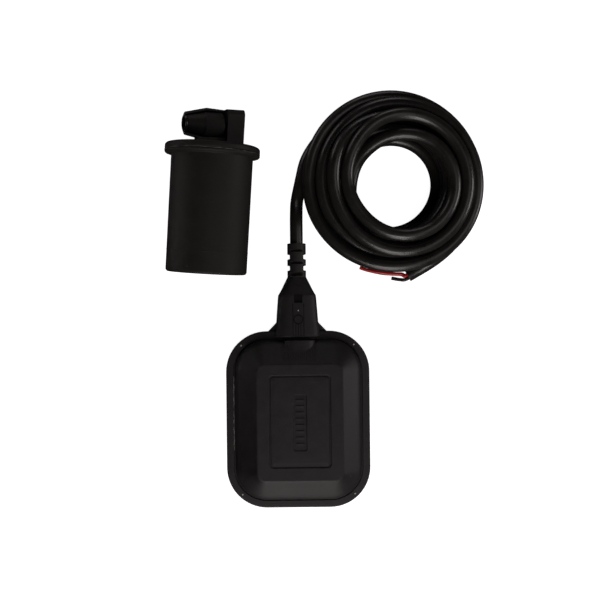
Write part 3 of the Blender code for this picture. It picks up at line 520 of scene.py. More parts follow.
def dome_loops(side):
    """Sections of a shell, from the plateau out over the rim and back along the inside."""
    H = HALF_H
    loops = []

    def add(width, length, radius, h, dy=0.0, leaning=side > 0):
        rise = max(0.0, (h - RIM_HALF) / (HALF_H - RIM_HALF))
        dx = LEAN * rise if leaning else 0.0
        loops.append([(x + FLOAT_X + dx, y + FLOAT_Y + dy, MID_Z + side * h)
                      for x, y in rounded_rect(width, length, radius)])

    def add_grown(width, length, radius, table, **options):
        """Each row of the table is: added width and length, added radius, height."""
        for grow, grow_r, h in table:
            add(width + grow, length + grow, radius + grow_r, h, **options)

    if side > 0:
        # recess in the plateau's middle: width, length, radius, depth below the plateau
        for width, length, radius, drop in (
                (8.3, 38.6, 1.0, 0.72), (9.1, 39.4, 1.3, 0.68), (9.6, 39.9, 1.5, 0.36),
                (9.9, 40.2, 1.6, 0.06), (10.5, 40.8, 1.8, 0.0)):
            add(width, length, radius, H - drop)
        # shallow step and groove round it
        add_grown(PLATEAU_W - 19.8, PLATEAU_L - 19.4, 0.0, (
            (-5.2, 0.6, H), (-4.6, 0.7, H - 0.12), (-1.0, 2.0, H - 0.12), (-0.6, 2.1, H - 0.16),
            (0.1, 2.3, H - 0.72), (1.5, 2.7, H - 0.72), (2.2, 2.9, H - 0.09), (2.6, 3.0, H),
            (3.4, 3.1, H)), dy=0.8)
        add(PLATEAU_W - 4.0, PLATEAU_L - 4.0, PLATEAU_R - 1.9, H)
    add(PLATEAU_W - 1.9, PLATEAU_L - 1.9, PLATEAU_R - 0.95, H)
    for i in range(6):                               # the plateau's edge is rounded over
        t = i / 5
        out = -0.65 * (1 - t) ** 2 + 0.55 * t * t
        add(PLATEAU_W + 2 * out, PLATEAU_L + 2 * out, PLATEAU_R + out, H - 0.46 * (t * t))
    for i in range(1, 19):
        out, down = flank(i / 18)
        add(PLATEAU_W + (FOOT_W - PLATEAU_W) * out, PLATEAU_L + (FOOT_L - PLATEAU_L) * out,
            PLATEAU_R + (FOOT_R - PLATEAU_R) * out, H - (H - FOOT_H) * down)
    # groove between the dome's foot and the flat rim
    floor_h = RIM_HALF - 0.75
    add_grown(FOOT_W, FOOT_L, FOOT_R, ((0.15, 0.0, floor_h + 0.4), (0.5, 0.2, floor_h)))
    add_grown(FLOAT_W - 2 * RIM_FLAT, FLOAT_L - 2 * RIM_FLAT, RIM_R - RIM_FLAT, (
        (-0.5, -0.2, floor_h), (-0.1, 0.0, floor_h + 0.4), (0.0, 0.0, RIM_HALF - 0.25),
        (0.3, 0.1, RIM_HALF), (1.0, 0.5, RIM_HALF)))
    # the rim's outer edge
    add(FLOAT_W - 2.6, FLOAT_L - 2.6, RIM_R - 1.3, RIM_HALF - 0.12)
    for i in range(1, 6):
        a = i / 5 * pi / 2
        add(FLOAT_W - 2.0 + 2.0 * sin(a), FLOAT_L - 2.0 + 2.0 * sin(a), RIM_R - 1.0 + sin(a),
            RIM_HALF - 1.15 + 0.98 * cos(a))
    add_grown(FLOAT_W, FLOAT_L, RIM_R, (
        (0.0, 0.0, 0.45), (-0.5, -0.25, 0.16), (-7.4, -3.7, 0.16), (-7.4, -3.7, 1.3)))
    # inside: width, length, radius, height
    for section in ((86.8, 110.8, 20.4, 1.3), (86.4, 110.4, 20.2, 4.6), (80.5, 103.0, 16.5, 10.0),
                    (70.5, 92.5, 11.0, 15.4), (58.6, 80.2, 5.0, HALF_H - 2.2)):
        add(*section, leaning=False)
    return loops


def build_shell(name, side, node):
    shell = finish(name, loft(dome_loops(side)), SHELL, "float")
    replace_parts(keep_flat(shell), node)


def dome_height(y):
    """Height above the seam of the dome's end flank, at distance y from the centre."""
    low, high = 0.0, 1.0
    for _ in range(40):
        mid = (low + high) / 2
        if PLATEAU_L / 2 + (FOOT_L - PLATEAU_L) / 2 * flank(mid)[0] < y:
            low = mid
        else:
            high = mid
    return TOP_Z - (HALF_H - FOOT_H) * flank(low)[1] - MID_Z


def build_neck_boss(side, label):
    """The half-round boss where the neck runs into the dome."""
    mid_x = FLOAT_X + (BOSS_SHIFT if side > 0 else 0.0)
    power = 2 / BOSS_POWER
    half_turn = [pi * i / 40 for i in range(41)]
    loops = []
    for y, r in ((44.0, BOSS_R), (57.4, BOSS_R), (57.75, BOSS_R - 0.1), (57.95, BOSS_R - 0.35)):
        loops.append([(mid_x + r * signed_power(cos(a), power), FLOAT_Y + y,
                       MID_Z + side * max((r + BOSS_TALLER) * sin(a) ** power, 2.6))
                      for a in half_turn])
    finish("neck_boss_" + label, loft(loops), SHELL, "float")


def build_dome_ribs(side, label):
    """Fine ribs down the dome's end flank, on and beside the boss."""
    mid_x = FLOAT_X + (BOSS_SHIFT if side > 0 else 0.0)
    bm = bmesh.new()
    for i in range(RIB_COUNT):
        x = (i - 8) * RIB_PITCH
        boss_h = (BOSS_R + BOSS_TALLER) * max(1 - (abs(x) / BOSS_R) ** BOSS_POWER,
                                              0) ** (1 / BOSS_POWER)
        line = []
        for k in range(15):
            y = 43.4 + k * 0.98
            h = dome_height(y)
            if abs(x) < 12 and boss_h > h + 0.1 and y > 46:
                break                                # the boss covers the rib from here on
            line.append((mid_x + x, FLOAT_Y + y, MID_Z + side * (h - 0.05)))
        if len(line) > 3:
            rows = []
            for j, p in enumerate(line):
                r = RIB_R * (0.35 if j in (0, len(line) - 1) else 1.0)
                rows.append([(p[0] + r * 1.25 * cos(a), p[1], p[2] + side * r * sin(a))
                             for a in (pi * m / 6 for m in range(7))])
            loft(rows, bm=bm)
    finish("dome_ribs_" + label, bm, SHELL, "float")


def build_plate_bars():
    """Plain raised bars in the plateau's middle recess."""
    bm = bmesh.new()
    mid_x = FLOAT_X + LEAN
    for i in range(BAR_COUNT):
        y = FLOAT_Y + (i - (BAR_COUNT - 1) / 2) * BAR_PITCH
        add_box(bm, mid_x - BAR_HALF_W, mid_x + BAR_HALF_W, y - BAR_HALF_L, y + BAR_HALF_L,
                TOP_Z - 0.85, TOP_Z - 0.12)
    bevel_edges(bm, 0.22)
    finish("plate_bars", bm, SHELL, "float")


def build_rim_pips():
    bm = bmesh.new()
    a, reach = radians(47), RIM_R - 2.9
    for side_x, side_y in ((1, 1), (-1, 1), (-1, -1), (1, -1)):
        place = Vector((FLOAT_X + side_x * (FLOAT_W / 2 - RIM_R + reach * cos(a)),
                        FLOAT_Y + side_y * (FLOAT_L / 2 - RIM_R + reach * sin(a)),
                        MID_Z + RIM_HALF - 0.1))
        knob(*place, ((0.68, 0.0), (0.64, 0.35), (0.45, 0.55), (0.15, 0.62)), 16, bm)
    finish("rim_pips", bm, PIP, "float")


def flash_line(name, points, radius, material, seed):
    """A ragged thread of flash along a line."""
    rng = np.random.RandomState(seed)
    jitter = rng.rand(len(points), 3) - 0.5
    size = 0.55 + 0.9 * rng.rand(len(points))
    ragged = [Vector(p) + Vector(j) * radius * 0.7 for p, j in zip(points, jitter)]
    finish(name, tube(ragged, radius * size, 6), material, "float")


def build_seam_flash():
    """Flash in the rim's groove, along its left side and its neck end."""
    inset = RIM_FLAT + 0.25
    left_x, end_y = FLOAT_X - (FLOAT_W / 2 - inset), FLOAT_Y + FLOAT_L / 2 - inset
    left = [(left_x + 0.12 * sin(i * 0.7), FLOAT_Y - 22.0 + i * 0.62, MID_Z + RIM_HALF - 0.12)
            for i in range(88)]
    end = [(FLOAT_X + 9.5 + i * 0.6, end_y, MID_Z + RIM_HALF - 0.35) for i in range(19)]
    flash_line("seam_flash_left", left, 0.19, FLASH, seed=3)
    flash_line("seam_flash_top", end, 0.13, WELD, seed=4)


# ---------------------------------------------------------------------------- neck
neck_low, neck_high = mm_box("neck_housing")
boot_low, boot_high = mm_box("strain_relief_boot")
NECK_START, CONE_END = neck_low.y, neck_high.y
NECK_HALF_H = (neck_high.z - neck_low.z) / 2
SHOULDER = CONE_END - 12.7                           # where the neck starts to taper
PANEL_X = FLOAT_X + 0.9                              # the top's details sit a little to the right
PANEL_GROOVE_X = 3.95
NECK_TOP = MID_Z + NECK_HALF_H
PAD_Z = NECK_TOP - 0.16
# y, half width, half height, squareness (2 is an ellipse)
NECK_STATIONS = (
    (NECK_START, 16.1, NECK_HALF_H, 3.6), (67.0, 15.9, NECK_HALF_H, 3.6),
    (71.0, 15.35, NECK_HALF_H - 0.05, 3.5), (78.0, 14.85, NECK_HALF_H - 0.1, 3.4),
    (SHOULDER - 2.0, 13.95, NECK_HALF_H - 0.3, 3.3),
    (SHOULDER - 0.5, 13.7, NECK_HALF_H - 0.45, 3.3),
    (SHOULDER + 0.2, 13.1, NECK_HALF_H - 1.0, 3.2), (CONE_END - 9.0, 11.2, 10.2, 3.0),
    (CONE_END - 4.5, 9.0, 8.8, 2.6), (CONE_END - 0.5, 7.0, 7.0, 2.1), (CONE_END, 6.6, 6.6, 2.0))


def neck_section(y):
    """Half width, half height and squareness of the neck at y."""
    for p, q in zip(NECK_STATIONS, NECK_STATIONS[1:]):
        if y <= q[0] + 1e-6:
            t = (y - p[0]) / (q[0] - p[0])
            return tuple(a + (b - a) * t for a, b in zip(p[1:], q[1:]))
    return NECK_STATIONS[-1][1:]


def neck_body():
    ys = [NECK_START + d for d in (0, 0.12, 0.35, 0.7)]
    ys += [NECK_START + 1.2 + i * (SHOULDER - 1.2 - NECK_START - 1.2) / 20 for i in range(21)]
    ys += [SHOULDER + d for d in (-0.6, -0.2, 0.25, 0.7)]
    ys += [SHOULDER + 1.3 + i * (CONE_END - SHOULDER - 1.9) / 12 for i in range(13)]
    ys += [CONE_END - 0.25, CONE_END]
    loops = []
    for y in ys:
        half_w, half_h, square = neck_section(y)
        inset = max(0.0, 0.55 - (y - NECK_START) * 0.9) if y < NECK_START + 0.7 else 0.0
        loops.append([(FLOAT_X + (half_w - inset) * signed_power(cos(a), 2 / square), y,
                       MID_Z + (half_h - inset) * signed_power(sin(a), 2 / square))
                      for a in angles(112)])
    return loft(loops)


def neck_recesses():
    bm = bmesh.new()
    above = NECK_TOP + 3
    add_box(bm, PANEL_X - 3.0, PANEL_X + 3.0, SHOULDER - 6.25, SHOULDER - 0.1,
            NECK_TOP - 1.7, above)                   # dimple next to the shoulder
    for x in (-PANEL_GROOVE_X, PANEL_GROOVE_X):      # borders of the middle panel
        add_box(bm, PANEL_X + x - 0.25, PANEL_X + x + 0.25, NECK_START + 0.8, SHOULDER - 6.8,
                NECK_TOP - 0.75, above)
    for x in (-1.9, -0.1, 1.7):                      # short grooves between the rim and the pad
        add_box(bm, PANEL_X + x - 0.22, PANEL_X + x + 0.22, NECK_START + 0.8, NECK_START + 9.0,
                NECK_TOP - 0.6, above)
    return bm


def build_neck():
    neck = finish("neck", neck_body(), NECK, "float")
    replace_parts(neck, "neck_housing")
    cut(neck, neck_recesses(), "neck_recesses")
    neck.data.materials.append(DIMPLE)
    for face in neck.data.polygons:                  # the recess floors get a darker material: painted shade
        c = face.center / MM
        half_w, half_h, square = neck_section(c.y)
        across = abs(c.x - FLOAT_X) / half_w
        skin_z = MID_Z + half_h * max(1 - across ** square, 0) ** (1 / square)
        if (MID_Z + 8 < c.z < skin_z - 0.2 and abs(c.x - PANEL_X) < 4.4
                and NECK_START + 0.7 < c.y < SHOULDER):
            face.material_index = 1
    keep_flat(neck)


def build_neck_pads():
    """A blank round pad with a raised ring, and a small pip beyond it."""
    ring = ((3.55, -0.3), (3.55, 0.35), (3.4, 0.52), (3.0, 0.52), (2.8, 0.35), (2.75, 0.06),
            (0.3, 0.06))
    pip = ((0.5, -0.2), (0.46, 0.22), (0.3, 0.36), (0.1, 0.4))
    for name, y, profile, count, material in (("round_pad", 12.6, ring, 40, DIMPLE),
                                              ("gate_pip", 19.1, pip, 12, PIP)):
        bm = knob(PANEL_X, NECK_START + y, PAD_Z, profile, count)
        finish(name, bm, material, "float")


def build_gussets():
    """Flat webs between the neck and the rim."""
    outline = ((13.5, 61.6), (21.8, 61.6), (21.8, 63.9), (15.2, 70.9), (13.5, 70.9))
    for label, side in (("left", -1), ("right", 1)):
        bm = loft([[(FLOAT_X + side * x, FLOAT_Y + y, MID_Z + h) for x, y in outline]
                   for h in (-1.6, 1.6)])
        bevel_edges(bm, 0.3)
        finish("gusset_" + label, bm, NECK, "float")


# ---------------------------------------------------------------------------- strain relief boot
BOOT_END = boot_high.y
BOOT_R = (boot_high.x - boot_low.x) / 2
BORE_R = 4.72
BOOT_SIDES = 96
# y spans, the softness of their edges, and the distance of their flat floors from the axis
NOTCH_SPANS = ((BOOT_END - 11.5, BOOT_END - 8.15), (BOOT_END - 19.7, BOOT_END - 16.35))
NOTCH_SOFT, NOTCH_FLOOR = 0.35, 4.98                 # notches on the left and right
SLOT_SPANS = ((BOOT_END - 6.1, BOOT_END - 4.6), (BOOT_END - 15.0, BOOT_END - 13.4),
              (BOOT_END - 23.6, BOOT_END - 21.3))
SLOT_SOFT, SLOT_FLOOR = 0.22, 4.95                   # slots on the top and underside


def depth_at(y, spans, soft):
    """How deep a cut is at y: 0 outside its spans, 1 inside them, with soft edges."""
    depth = 0.0
    for start, end in spans:
        middle, half = (start + end) / 2, (end - start) / 2
        depth = max(depth, min(1.0, max(0.0, (half + soft - abs(y - middle)) / (2 * soft))))
    return depth * depth * (3 - 2 * depth)


def cut_radius(floor_at, share, depth):
    """Radius of the boot where a flat floor is cut; share is the direction's part towards it."""
    return BOOT_R + (min(BOOT_R, floor_at / max(share, 1e-3)) - BOOT_R) * depth


def in_shade(x, y, z):
    """Whether a point, measured from the boot's axis, lies in a slot or a notch."""
    if not (BORE_R + 0.2 < hypot(x, z) < BOOT_R - 0.35 and CONE_END < y < BOOT_END - 2):
        return False
    return (depth_at(y, SLOT_SPANS, SLOT_SOFT) > 0.5 and abs(z) > 4.2
            or depth_at(y, NOTCH_SPANS, NOTCH_SOFT) > 0.6 and abs(x) > 4.4)


def build_boot():
    rows = []
    for i in range(191):
        y = CONE_END - 2.0 + (BOOT_END - CONE_END + 1.6) * i / 190
        notch, slot = depth_at(y, NOTCH_SPANS, NOTCH_SOFT), depth_at(y, SLOT_SPANS, SLOT_SOFT)
        row = []
        for a in angles(BOOT_SIDES):
            r = min(cut_radius(NOTCH_FLOOR, abs(cos(a)), notch),
                    cut_radius(SLOT_FLOOR, abs(sin(a)), slot))
            row.append((FLOAT_X + r * cos(a), y, MID_Z + r * sin(a)))
        rows.append(row)
    # the rounded end and the bore
    for r, y in ((BOOT_R - 0.12, BOOT_END - 0.15), (BOOT_R - 0.45, BOOT_END),
                 (BORE_R + 0.25, BOOT_END), (BORE_R, BOOT_END - 0.3), (BORE_R, CONE_END - 1.8)):
        rows.append([(FLOAT_X + r * cos(a), y, MID_Z + r * sin(a)) for a in angles(BOOT_SIDES)])
    boot = finish("boot", loft(rows, ring=True), BOOT, "float", sharp=40)
    # faces in the slots and notches get the darker material, which is painted shade
    boot.data.materials.append(SLOT_SHADE_PAINT)
    for face in boot.data.polygons:
        c = face.center / MM
        if in_shade(c.x - FLOAT_X, c.y, c.z - MID_Z):
            face.material_index = 1
    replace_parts(boot, "strain_relief_boot")


# ---------------------------------------------------------------------------- cable
CABLE_R = 4.7
CABLE_SIDES = 32
COIL_X, COIL_Y = 72.0, 172.2
STATIONS = 48                                        # points in a turn of the coil
# one row a turn: radii, then heights, at every eighth of the turn
COIL_TURNS = (
    ((70.0, 62.2, 60.0, 59.3, 59.2, 59.2, 59.2, 58.5), (9.3, 5.2, 4.8, 4.8, 4.8, 4.8, 4.8, 4.8)),
    ((57.8, 52.6, 49.8, 49.0, 48.7, 48.6, 48.0, 46.0), (4.8, 4.8, 4.8, 4.8, 4.8, 4.8, 4.8, 4.8)),
    ((41.5, 37.0, 36.4, 35.9, 34.8, 34.5, 36.4, 37.4), (4.8, 4.8, 4.8, 4.8, 4.8, 4.8, 5.6, 8.0)),
    ((39.4, 40.5, 40.5, 40.0, 39.5, 39.0, 40.5, 42.0), (11, 13, 13.5, 13.5, 13.5, 13.5, 14, 14)),
    ((42.0, 41.5, 40.5, 41.0, 41.0, 40.5, 41.0, 39.5), (15, 17, 18, 19, 19.5, 19.5, 19, 18)),
    ((31.1, 31.7, 34.3, 39.4, 43.0, 43.9, 38.8, 33.4), (17, 19, 23, 26, 27.5, 27.5, 27.5, 27.5)),
    ((34.6, 39.9, 48.3, 51.7, 53.0, 53.9, 50.1, 44.3), (27, 29, 30, 30, 30, 29, 28, 28)),
    ((43.5, 46.4, 46.0, 50.1, 52.4, 53.6, 54.2, 51.3), (27, 21.5, 21.5, 21, 20.5, 20, 19, 19)),
    ((53.2, 55.4, 59.0, 59.4, 60.2, 61.8, 60.2, 61.4), (20, 21, 21, 21.5, 22, 22, 22, 22)),
    ((62.1, 64.8, 65.3, 63.0, 62.0, 62.1), (19, 17, 14.5, 13, 12.2, 10.8)),
)
TURN_CLEAR = 9.95                                    # least distance between turns
SETTLE_ROUNDS = 400
HINGE = Vector(JOINT["float_swing"]["pos_m"]) / MM
INSIDE_Y = (112.0, 118.0, 124.0, 128.0, 132.0, HINGE.y)      # straight piece inside the boot
TAIL = [(0.0, HINGE.y + CABLE_R + 0.4, HINGE.z), (0.0, 147.0, 20.5), (0.2, 154.0, 17.4),
        (0.8, 162.0, 12.9)]
TAIL_REACH, BLEND_REACH = 15.0, 14.6                 # how far beyond the hinge the tail piece reaches
CABLE_END, CABLE_END_HEADING = (83.5, 104.4, 5.1), (-0.873, -0.487, 0.0)
CORE_R, CORE_PITCH_R = 1.35, 1.73                    # a core, and its distance from the middle
# place round the cable in degrees, the points of the line outside the sheath, material
CORES = {
    "red": (120, [(79.1, 105.6, 6.3), (73.9, 105.8, 6.2), (66.4, 106.6, 5.6), (59.0, 107.7, 5.0),
                  (52.8, 109.2, 4.4), (47.6, 111.1, 3.6)], RED),
    "black": (0, [(80.4, 101.4, 4.5), (76.2, 101.9, 2.9), (71.7, 102.8, 1.8)], BLACK),
    "green": (240, [(79.1, 105.5, 2.4), (72.5, 106.0, 1.7), (65.0, 106.6, 1.7),
                    (57.5, 108.1, 1.7)], GREEN),
}


def lay_coil():
    """The coil's settled line: turns closer than TURN_CLEAR push one another apart."""
    step = STATIONS // 8

    def through(column):
        a = np.array([v for turn in COIL_TURNS for v in turn[column]], float)
        n = len(a)
        padded = np.concatenate([[2 * a[0] - a[1]], a, [2 * a[-1] - a[-2]]])
        out = np.empty((n - 1) * step + 1)
        for i in range(len(out)):
            k = min(i // step, n - 2)
            out[i] = catmull_rom(*padded[k:k + 4], (i - k * step) / step)
        return out

    def soften(v):
        mid = 0.25 * v[:-2] + 0.5 * v[1:-1] + 0.25 * v[2:]
        return 0.6 * v + 0.4 * np.concatenate([v[:1], mid, v[-1:]])

    r, z = through(0), through(1)
    r_start, z_start = r.copy(), z.copy()
    count = len(r)
    for i in range(SETTLE_ROUNDS):
        dr, dz = np.zeros(count), np.zeros(count)
        for s in range(STATIONS, count, STATIONS):
            x, y = r[s:] - r[:-s], z[s:] - z[:-s]
            d = np.hypot(x, y) + 1e-9
            push = np.clip(TURN_CLEAR - d, 0, None) * 0.5
            dr[:-s] -= push * x / d * 0.5
            dr[s:] += push * x / d * 0.5
            dz[:-s] -= push * y / d
            dz[s:] += push * y / d
        r += dr + (r_start - r) * 0.02               # a weak pull back to the drawn place
        z += dz + (z_start - z) * 0.004
        if i < SETTLE_ROUNDS - 40 or i % 2 == 0:
            r, z = soften(r), soften(z)
        z = np.maximum(z, CABLE_R + 0.1)
    a = np.arange(count) * 2 * pi / STATIONS
    return [Vector(p) for p in np.stack([COIL_X - r * np.cos(a), COIL_Y + r * np.sin(a), z], 1)]


def cable_line():
    """The whole cable's middle line, from inside the boot to the cut end."""
    coil = lay_coil()
    inside = [Vector((0, y, HINGE.z)) for y in INSIDE_Y]
    lead_in = spline(TAIL + [tuple(coil[2])], 3)[:-1]
    last, end = coil[-1], Vector(CABLE_END)
    heading = (coil[-1] - coil[-2]).normalized()
    span = (end - last).length
    c1 = last + heading * span * 0.35
    c2 = end - Vector(CABLE_END_HEADING) * span * 0.35
    run_out = [(1 - t) ** 3 * last + 3 * (1 - t) ** 2 * t * c1 + 3 * (1 - t) * t * t * c2
               + t ** 3 * end for t in (i / 6 for i in range(1, 7))]
    return even(spline(inside + lead_in + coil[2:] + run_out, 5), 1.6)


def build_cable_tail(line):
    """The piece of cable between the float and the lying cable."""
    bm = tube(line, CABLE_R, CABLE_SIDES, cap_end=False)
    tail = finish("cable_tail", bm, SKIN, None, recalc=False)
    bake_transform(tail)
    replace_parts(tail, "cable_stub")


def build_cable_coil(line, uv_start):
    bm = tube(line, CABLE_R, CABLE_SIDES, cap_start=False, cap_end=False, uv_start=uv_start)
    # at the cut end the sheath's rim turns in to a shallow well where the cores come out
    end = Vector(line[-1])
    heading = (line[-1] - line[-2]).normalized()
    rim = list(bm.verts)[-CABLE_SIDES:]
    previous = rim
    for r, along in ((4.55, 0.0), (3.72, -0.02), (3.55, -0.24), (3.5, -1.74)):
        ring = []
        for vert in rim:
            d = vert.co - end
            d = (d - heading * d.dot(heading)).normalized()
            ring.append(bm.verts.new(end + d * r + heading * along))
        for k in range(CABLE_SIDES):
            j = (k + 1) % CABLE_SIDES
            bm.faces.new((previous[k], previous[j], ring[j], ring[k]))
        previous = ring
    bm.faces.new(previous)
    sheath = finish("cable_coil", bm, SKIN, "cable", recalc=False)
    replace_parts(sheath, "cable_sheath")


def build_cable():
    line = cable_line()
    split = next(i for i, p in enumerate(line) if p.y > HINGE.y + TAIL_REACH)
    tail_length = sum((line[i] - line[i - 1]).length for i in range(1, split + 1))
    build_cable_tail(line[:split + 1])
    build_cable_coil(line[split:], tail_length)


def build_cores():
    """The insulated cores that stick out of the cut end."""
    x, y, z = CABLE_END
    dx, dy, _ = CABLE_END_HEADING
    for name, (turn, points, material) in CORES.items():
        side = CORE_PITCH_R * cos(radians(turn))
        lift = CORE_PITCH_R * sin(radians(turn))
        start = [(x + dx * h - dy * side, y + dy * h + dx * side, z + lift)
                 for h in (-1.5, 0.5, 2.0)]
        bm = tube(spline(start + points, 10), CORE_R, 20)
        core = finish("core_" + name + "_skin", bm, material, "cable", recalc=False, sharp=50)
        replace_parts(core, "core_" + name)


# ---------------------------------------------------------------------------- counterweight
def weight_frames():
    """The drum's frame (Y up its axis from the base), the clamp's frame, the clamp's height."""
    base = Vector(MOUNT["weight_base_face"]["pos_m"]) / MM
    ay = -Vector(MOUNT["weight_base_face"]["axis"]).normalized()
    ax = Vector(JOINT["nut_turn"]["axis"]).normalized()
    yaw = asin(ax.dot(ay))
    ax = (ax - ay * ax.dot(ay)).normalized()
    az = ax.cross(ay)
    drum = Matrix(((ax.x, ay.x, az.x, base.x), (ax.y, ay.y, az.y, base.y),
                   (ax.z, ay.z, az.z, base.z), (0, 0, 0, 1)))
    height = (drum.inverted() @ (Vector(JOINT["nut_turn"]["pos_m"]) / MM)).y
    clamp = (drum @ Matrix.Translation((0, height, 0)) @ Matrix.Rotation(yaw, 4, "Z")
             @ Matrix.Translation((-0.9, -height, 0)))
    return drum, clamp, height


DRUM_FRAME, CLAMP_FRAME, CLAMP_H = weight_frames()
DRUM_R, DRUM_L = 29.3, 84.1
FLANGE_R, FLANGE_T = 34.1, 3.6
WELD_H = DRUM_L + 2.6                                # the weld line in the flange
CAP_FOOT = WELD_H + 0.3
CAP_TOP = DRUM_L + 2 * FLANGE_T + 0.3
DRUM_SIDES = 160
BLOCK_W, BLOCK_R, BLOCK_OVER = 21.0, 4.2, 10.6       # the block, and its reach past the nut's axis
CRADLE_R, CRADLE_MOUTH_R, CRADLE_T = 11.6, 8.1, 1.6
NUT_RIBS, NUT_CONE_END = 44, -7.2
NUT_MOUTH_R, NUT_CONE_R, NUT_BARREL_R, NUT_BORE_R = 5.5, 7.95, 8.2, 4.98


def build_weight_body():
    outside = [(2.0, 0.9), (24.6, 0.9), (25.6, 0.0), (28.0, 0.0), (DRUM_R, 1.3),
               (DRUM_R - 0.02, 15.4), (DRUM_R + 0.05, 15.75), (DRUM_R + 0.05, 16.3),
               (DRUM_R - 0.02, 16.6), (DRUM_R, 50.0), (DRUM_R, DRUM_L - 0.5),
               (DRUM_R + 0.5, DRUM_L)]
    flange_and_inside = [(DRUM_R + 0.5, DRUM_L), (FLANGE_R - 0.9, DRUM_L),
                         (FLANGE_R, DRUM_L + 0.9), (FLANGE_R + 0.05, WELD_H - 0.6),
                         (FLANGE_R - 0.4, WELD_H - 0.15), (26.6, WELD_H - 0.15),
                         (26.6, 60.0), (26.6, 3.0), (24.0, 2.4)]
    profile = fillet(outside, 0.7) + fillet(flange_and_inside, 0.5)[1:]
    shell = finish("weight_body", turned(profile, DRUM_SIDES), WEIGHT, "weight", place=DRUM_FRAME)
    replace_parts(keep_flat(shell), "weight_shell")


def build_weight_cap():
    profile = fillet([(23.6, CAP_FOOT + 0.2), (23.6, CAP_FOOT - 6.0), (26.2, CAP_FOOT - 6.0),
                      (26.2, CAP_FOOT + 0.1), (FLANGE_R - 0.5, CAP_FOOT + 0.1),
                      (FLANGE_R + 0.02, CAP_FOOT + 0.7), (FLANGE_R - 0.1, CAP_TOP - 1.2),
                      (FLANGE_R - 1.4, CAP_TOP), (20.0, CAP_TOP), (1.0, CAP_TOP)], 0.6)
    cap = finish("weight_cap_skin", turned(profile, DRUM_SIDES), WEIGHT, "weight",
                 place=DRUM_FRAME)
    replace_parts(keep_flat(cap), "weight_cap")


def build_weight_weld():
    """A rough weld bead round the flange."""
    count = 260
    lump = np.random.RandomState(11).rand(count)
    lump = (lump + np.roll(lump, 1) + np.roll(lump, 2)) / 3
    rows = []
    for a, size in zip(angles(count), lump):
        h = WELD_H + 0.1 + 0.22 * sin(3 * a + 1) + 0.5 * (size - 0.5)
        w = 0.26 + 0.42 * size
        rows.append([((FLANGE_R - 0.25 + w * cos(t) * 0.75) * cos(a), h + w * sin(t),
                      (FLANGE_R - 0.25 + w * cos(t) * 0.75) * sin(a)) for t in angles(8)])
    weld = finish("weight_weld", loft(rows, ring=True), BEAD, "weight", place=DRUM_FRAME,
                  sharp=60)


def build_clamp_block():
    """The block on the cap beside the nut, rounded at its top."""
    outline = rounded_rect(2 * (CLAMP_H - CAP_TOP + BLOCK_OVER), BLOCK_W, BLOCK_R, 10, CAP_TOP)
    above = sorted([p for p in outline if p[0] > CAP_TOP],
                   key=lambda p: atan2(-p[1], p[0] - CAP_TOP))
    foot = CAP_TOP - 0.8
    section = [(foot, BLOCK_W / 2 - BLOCK_R)] + above + [(foot, -BLOCK_W / 2)]
    bm = loft([[(x, y, z) for y, z in section] for x in (8.4, 21.0)])
    bevel_edges(bm, 1.1, segments=3, over_degrees=60)
    block = finish("clamp_block_skin", bm, WEIGHT, "weight", place=CLAMP_FRAME)
    keep_flat(block)


def build_clamp_cradle():
    """The open trough on the cap's side of the nut, narrower towards the nut's mouth."""
    arc = [radians(80 + 200.0 * i / 48) for i in range(49)]
    loops = []
    for x in (-20.4, -20.2, -18, -15, -12, -9, -7, -5, -2, 3, 9.0):
        if x < -5:
            r = CRADLE_MOUTH_R + (CRADLE_R - CRADLE_MOUTH_R) * ((x + 20.6) / 15.6)
        else:
            r = CRADLE_R - (x + 5) / 14
        inner = r - CRADLE_T
        loops.append([(x, CLAMP_H + r * sin(a), r * cos(a)) for a in arc]
                     + [(x, CLAMP_H + inner * sin(a), inner * cos(a)) for a in reversed(arc)])
    cradle = finish("clamp_cradle_skin", loft(loops), WEIGHT, "weight", place=CLAMP_FRAME)


def build_clamp_foot():
    low, high = CAP_TOP - 0.6, CLAMP_H - 9.3
    section = ((low, -6.0), (low, 3.0), (high, 3.0), (high, -6.0))
    bm = loft([[(x, y, z) for y, z in section] for x in (-12.0, 9.0)])
    bevel_edges(bm, 0.4)
    finish("clamp_foot_skin", bm, WEIGHT, "weight", place=CLAMP_FRAME)


def nut_radius(x, a):
    """The nut's radius at x: a smooth cone, then a ribbed barrel."""
    if x < NUT_CONE_END:
        r = NUT_MOUTH_R + (NUT_CONE_R - NUT_MOUTH_R) * ((x + 20.0) / 12.8) ** 0.92
    else:
        r = NUT_BARREL_R + 0.12 * sin((x - NUT_CONE_END) / 14 * pi)
    if x < -19.0:
        r -= (-19.0 - x) * 0.35
    if -6.7 < x < 6.4:
        r += 0.16 * (abs(sin(NUT_RIBS / 2 * a)) ** 0.6) - 0.04
    if x > 6.3:
        r -= (x - 6.3) * 0.6
    return r


def build_nut():
    xs = ([-19.7, -19.55, -19.2, -18.6] + [-18.0 + i * 1.06 for i in range(10)]
          + [-7.3, -7.15, -6.9, -6.6] + [-6.0 + i * 1.0 for i in range(12)]
          + [6.2, 6.5, 6.75, 6.9])
    turn = angles(NUT_RIBS * 8)
    sections = [(x, [nut_radius(x, a) for a in turn]) for x in xs]
    sections += [(x, [r] * len(turn)) for r, x in ((NUT_MOUTH_R, 6.9), (NUT_BORE_R, 6.4),
                                                   (NUT_BORE_R, -19.0), (5.2, -19.7))]
    rows = [[(x, CLAMP_H + r * cos(a), r * sin(a)) for r, a in zip(radii, turn)]
            for x, radii in sections]
    nut = finish("nut", loft(rows, ring=True), CLAMP, "nut", place=CLAMP_FRAME, sharp=28)
    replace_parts(nut, "clamp_nut")


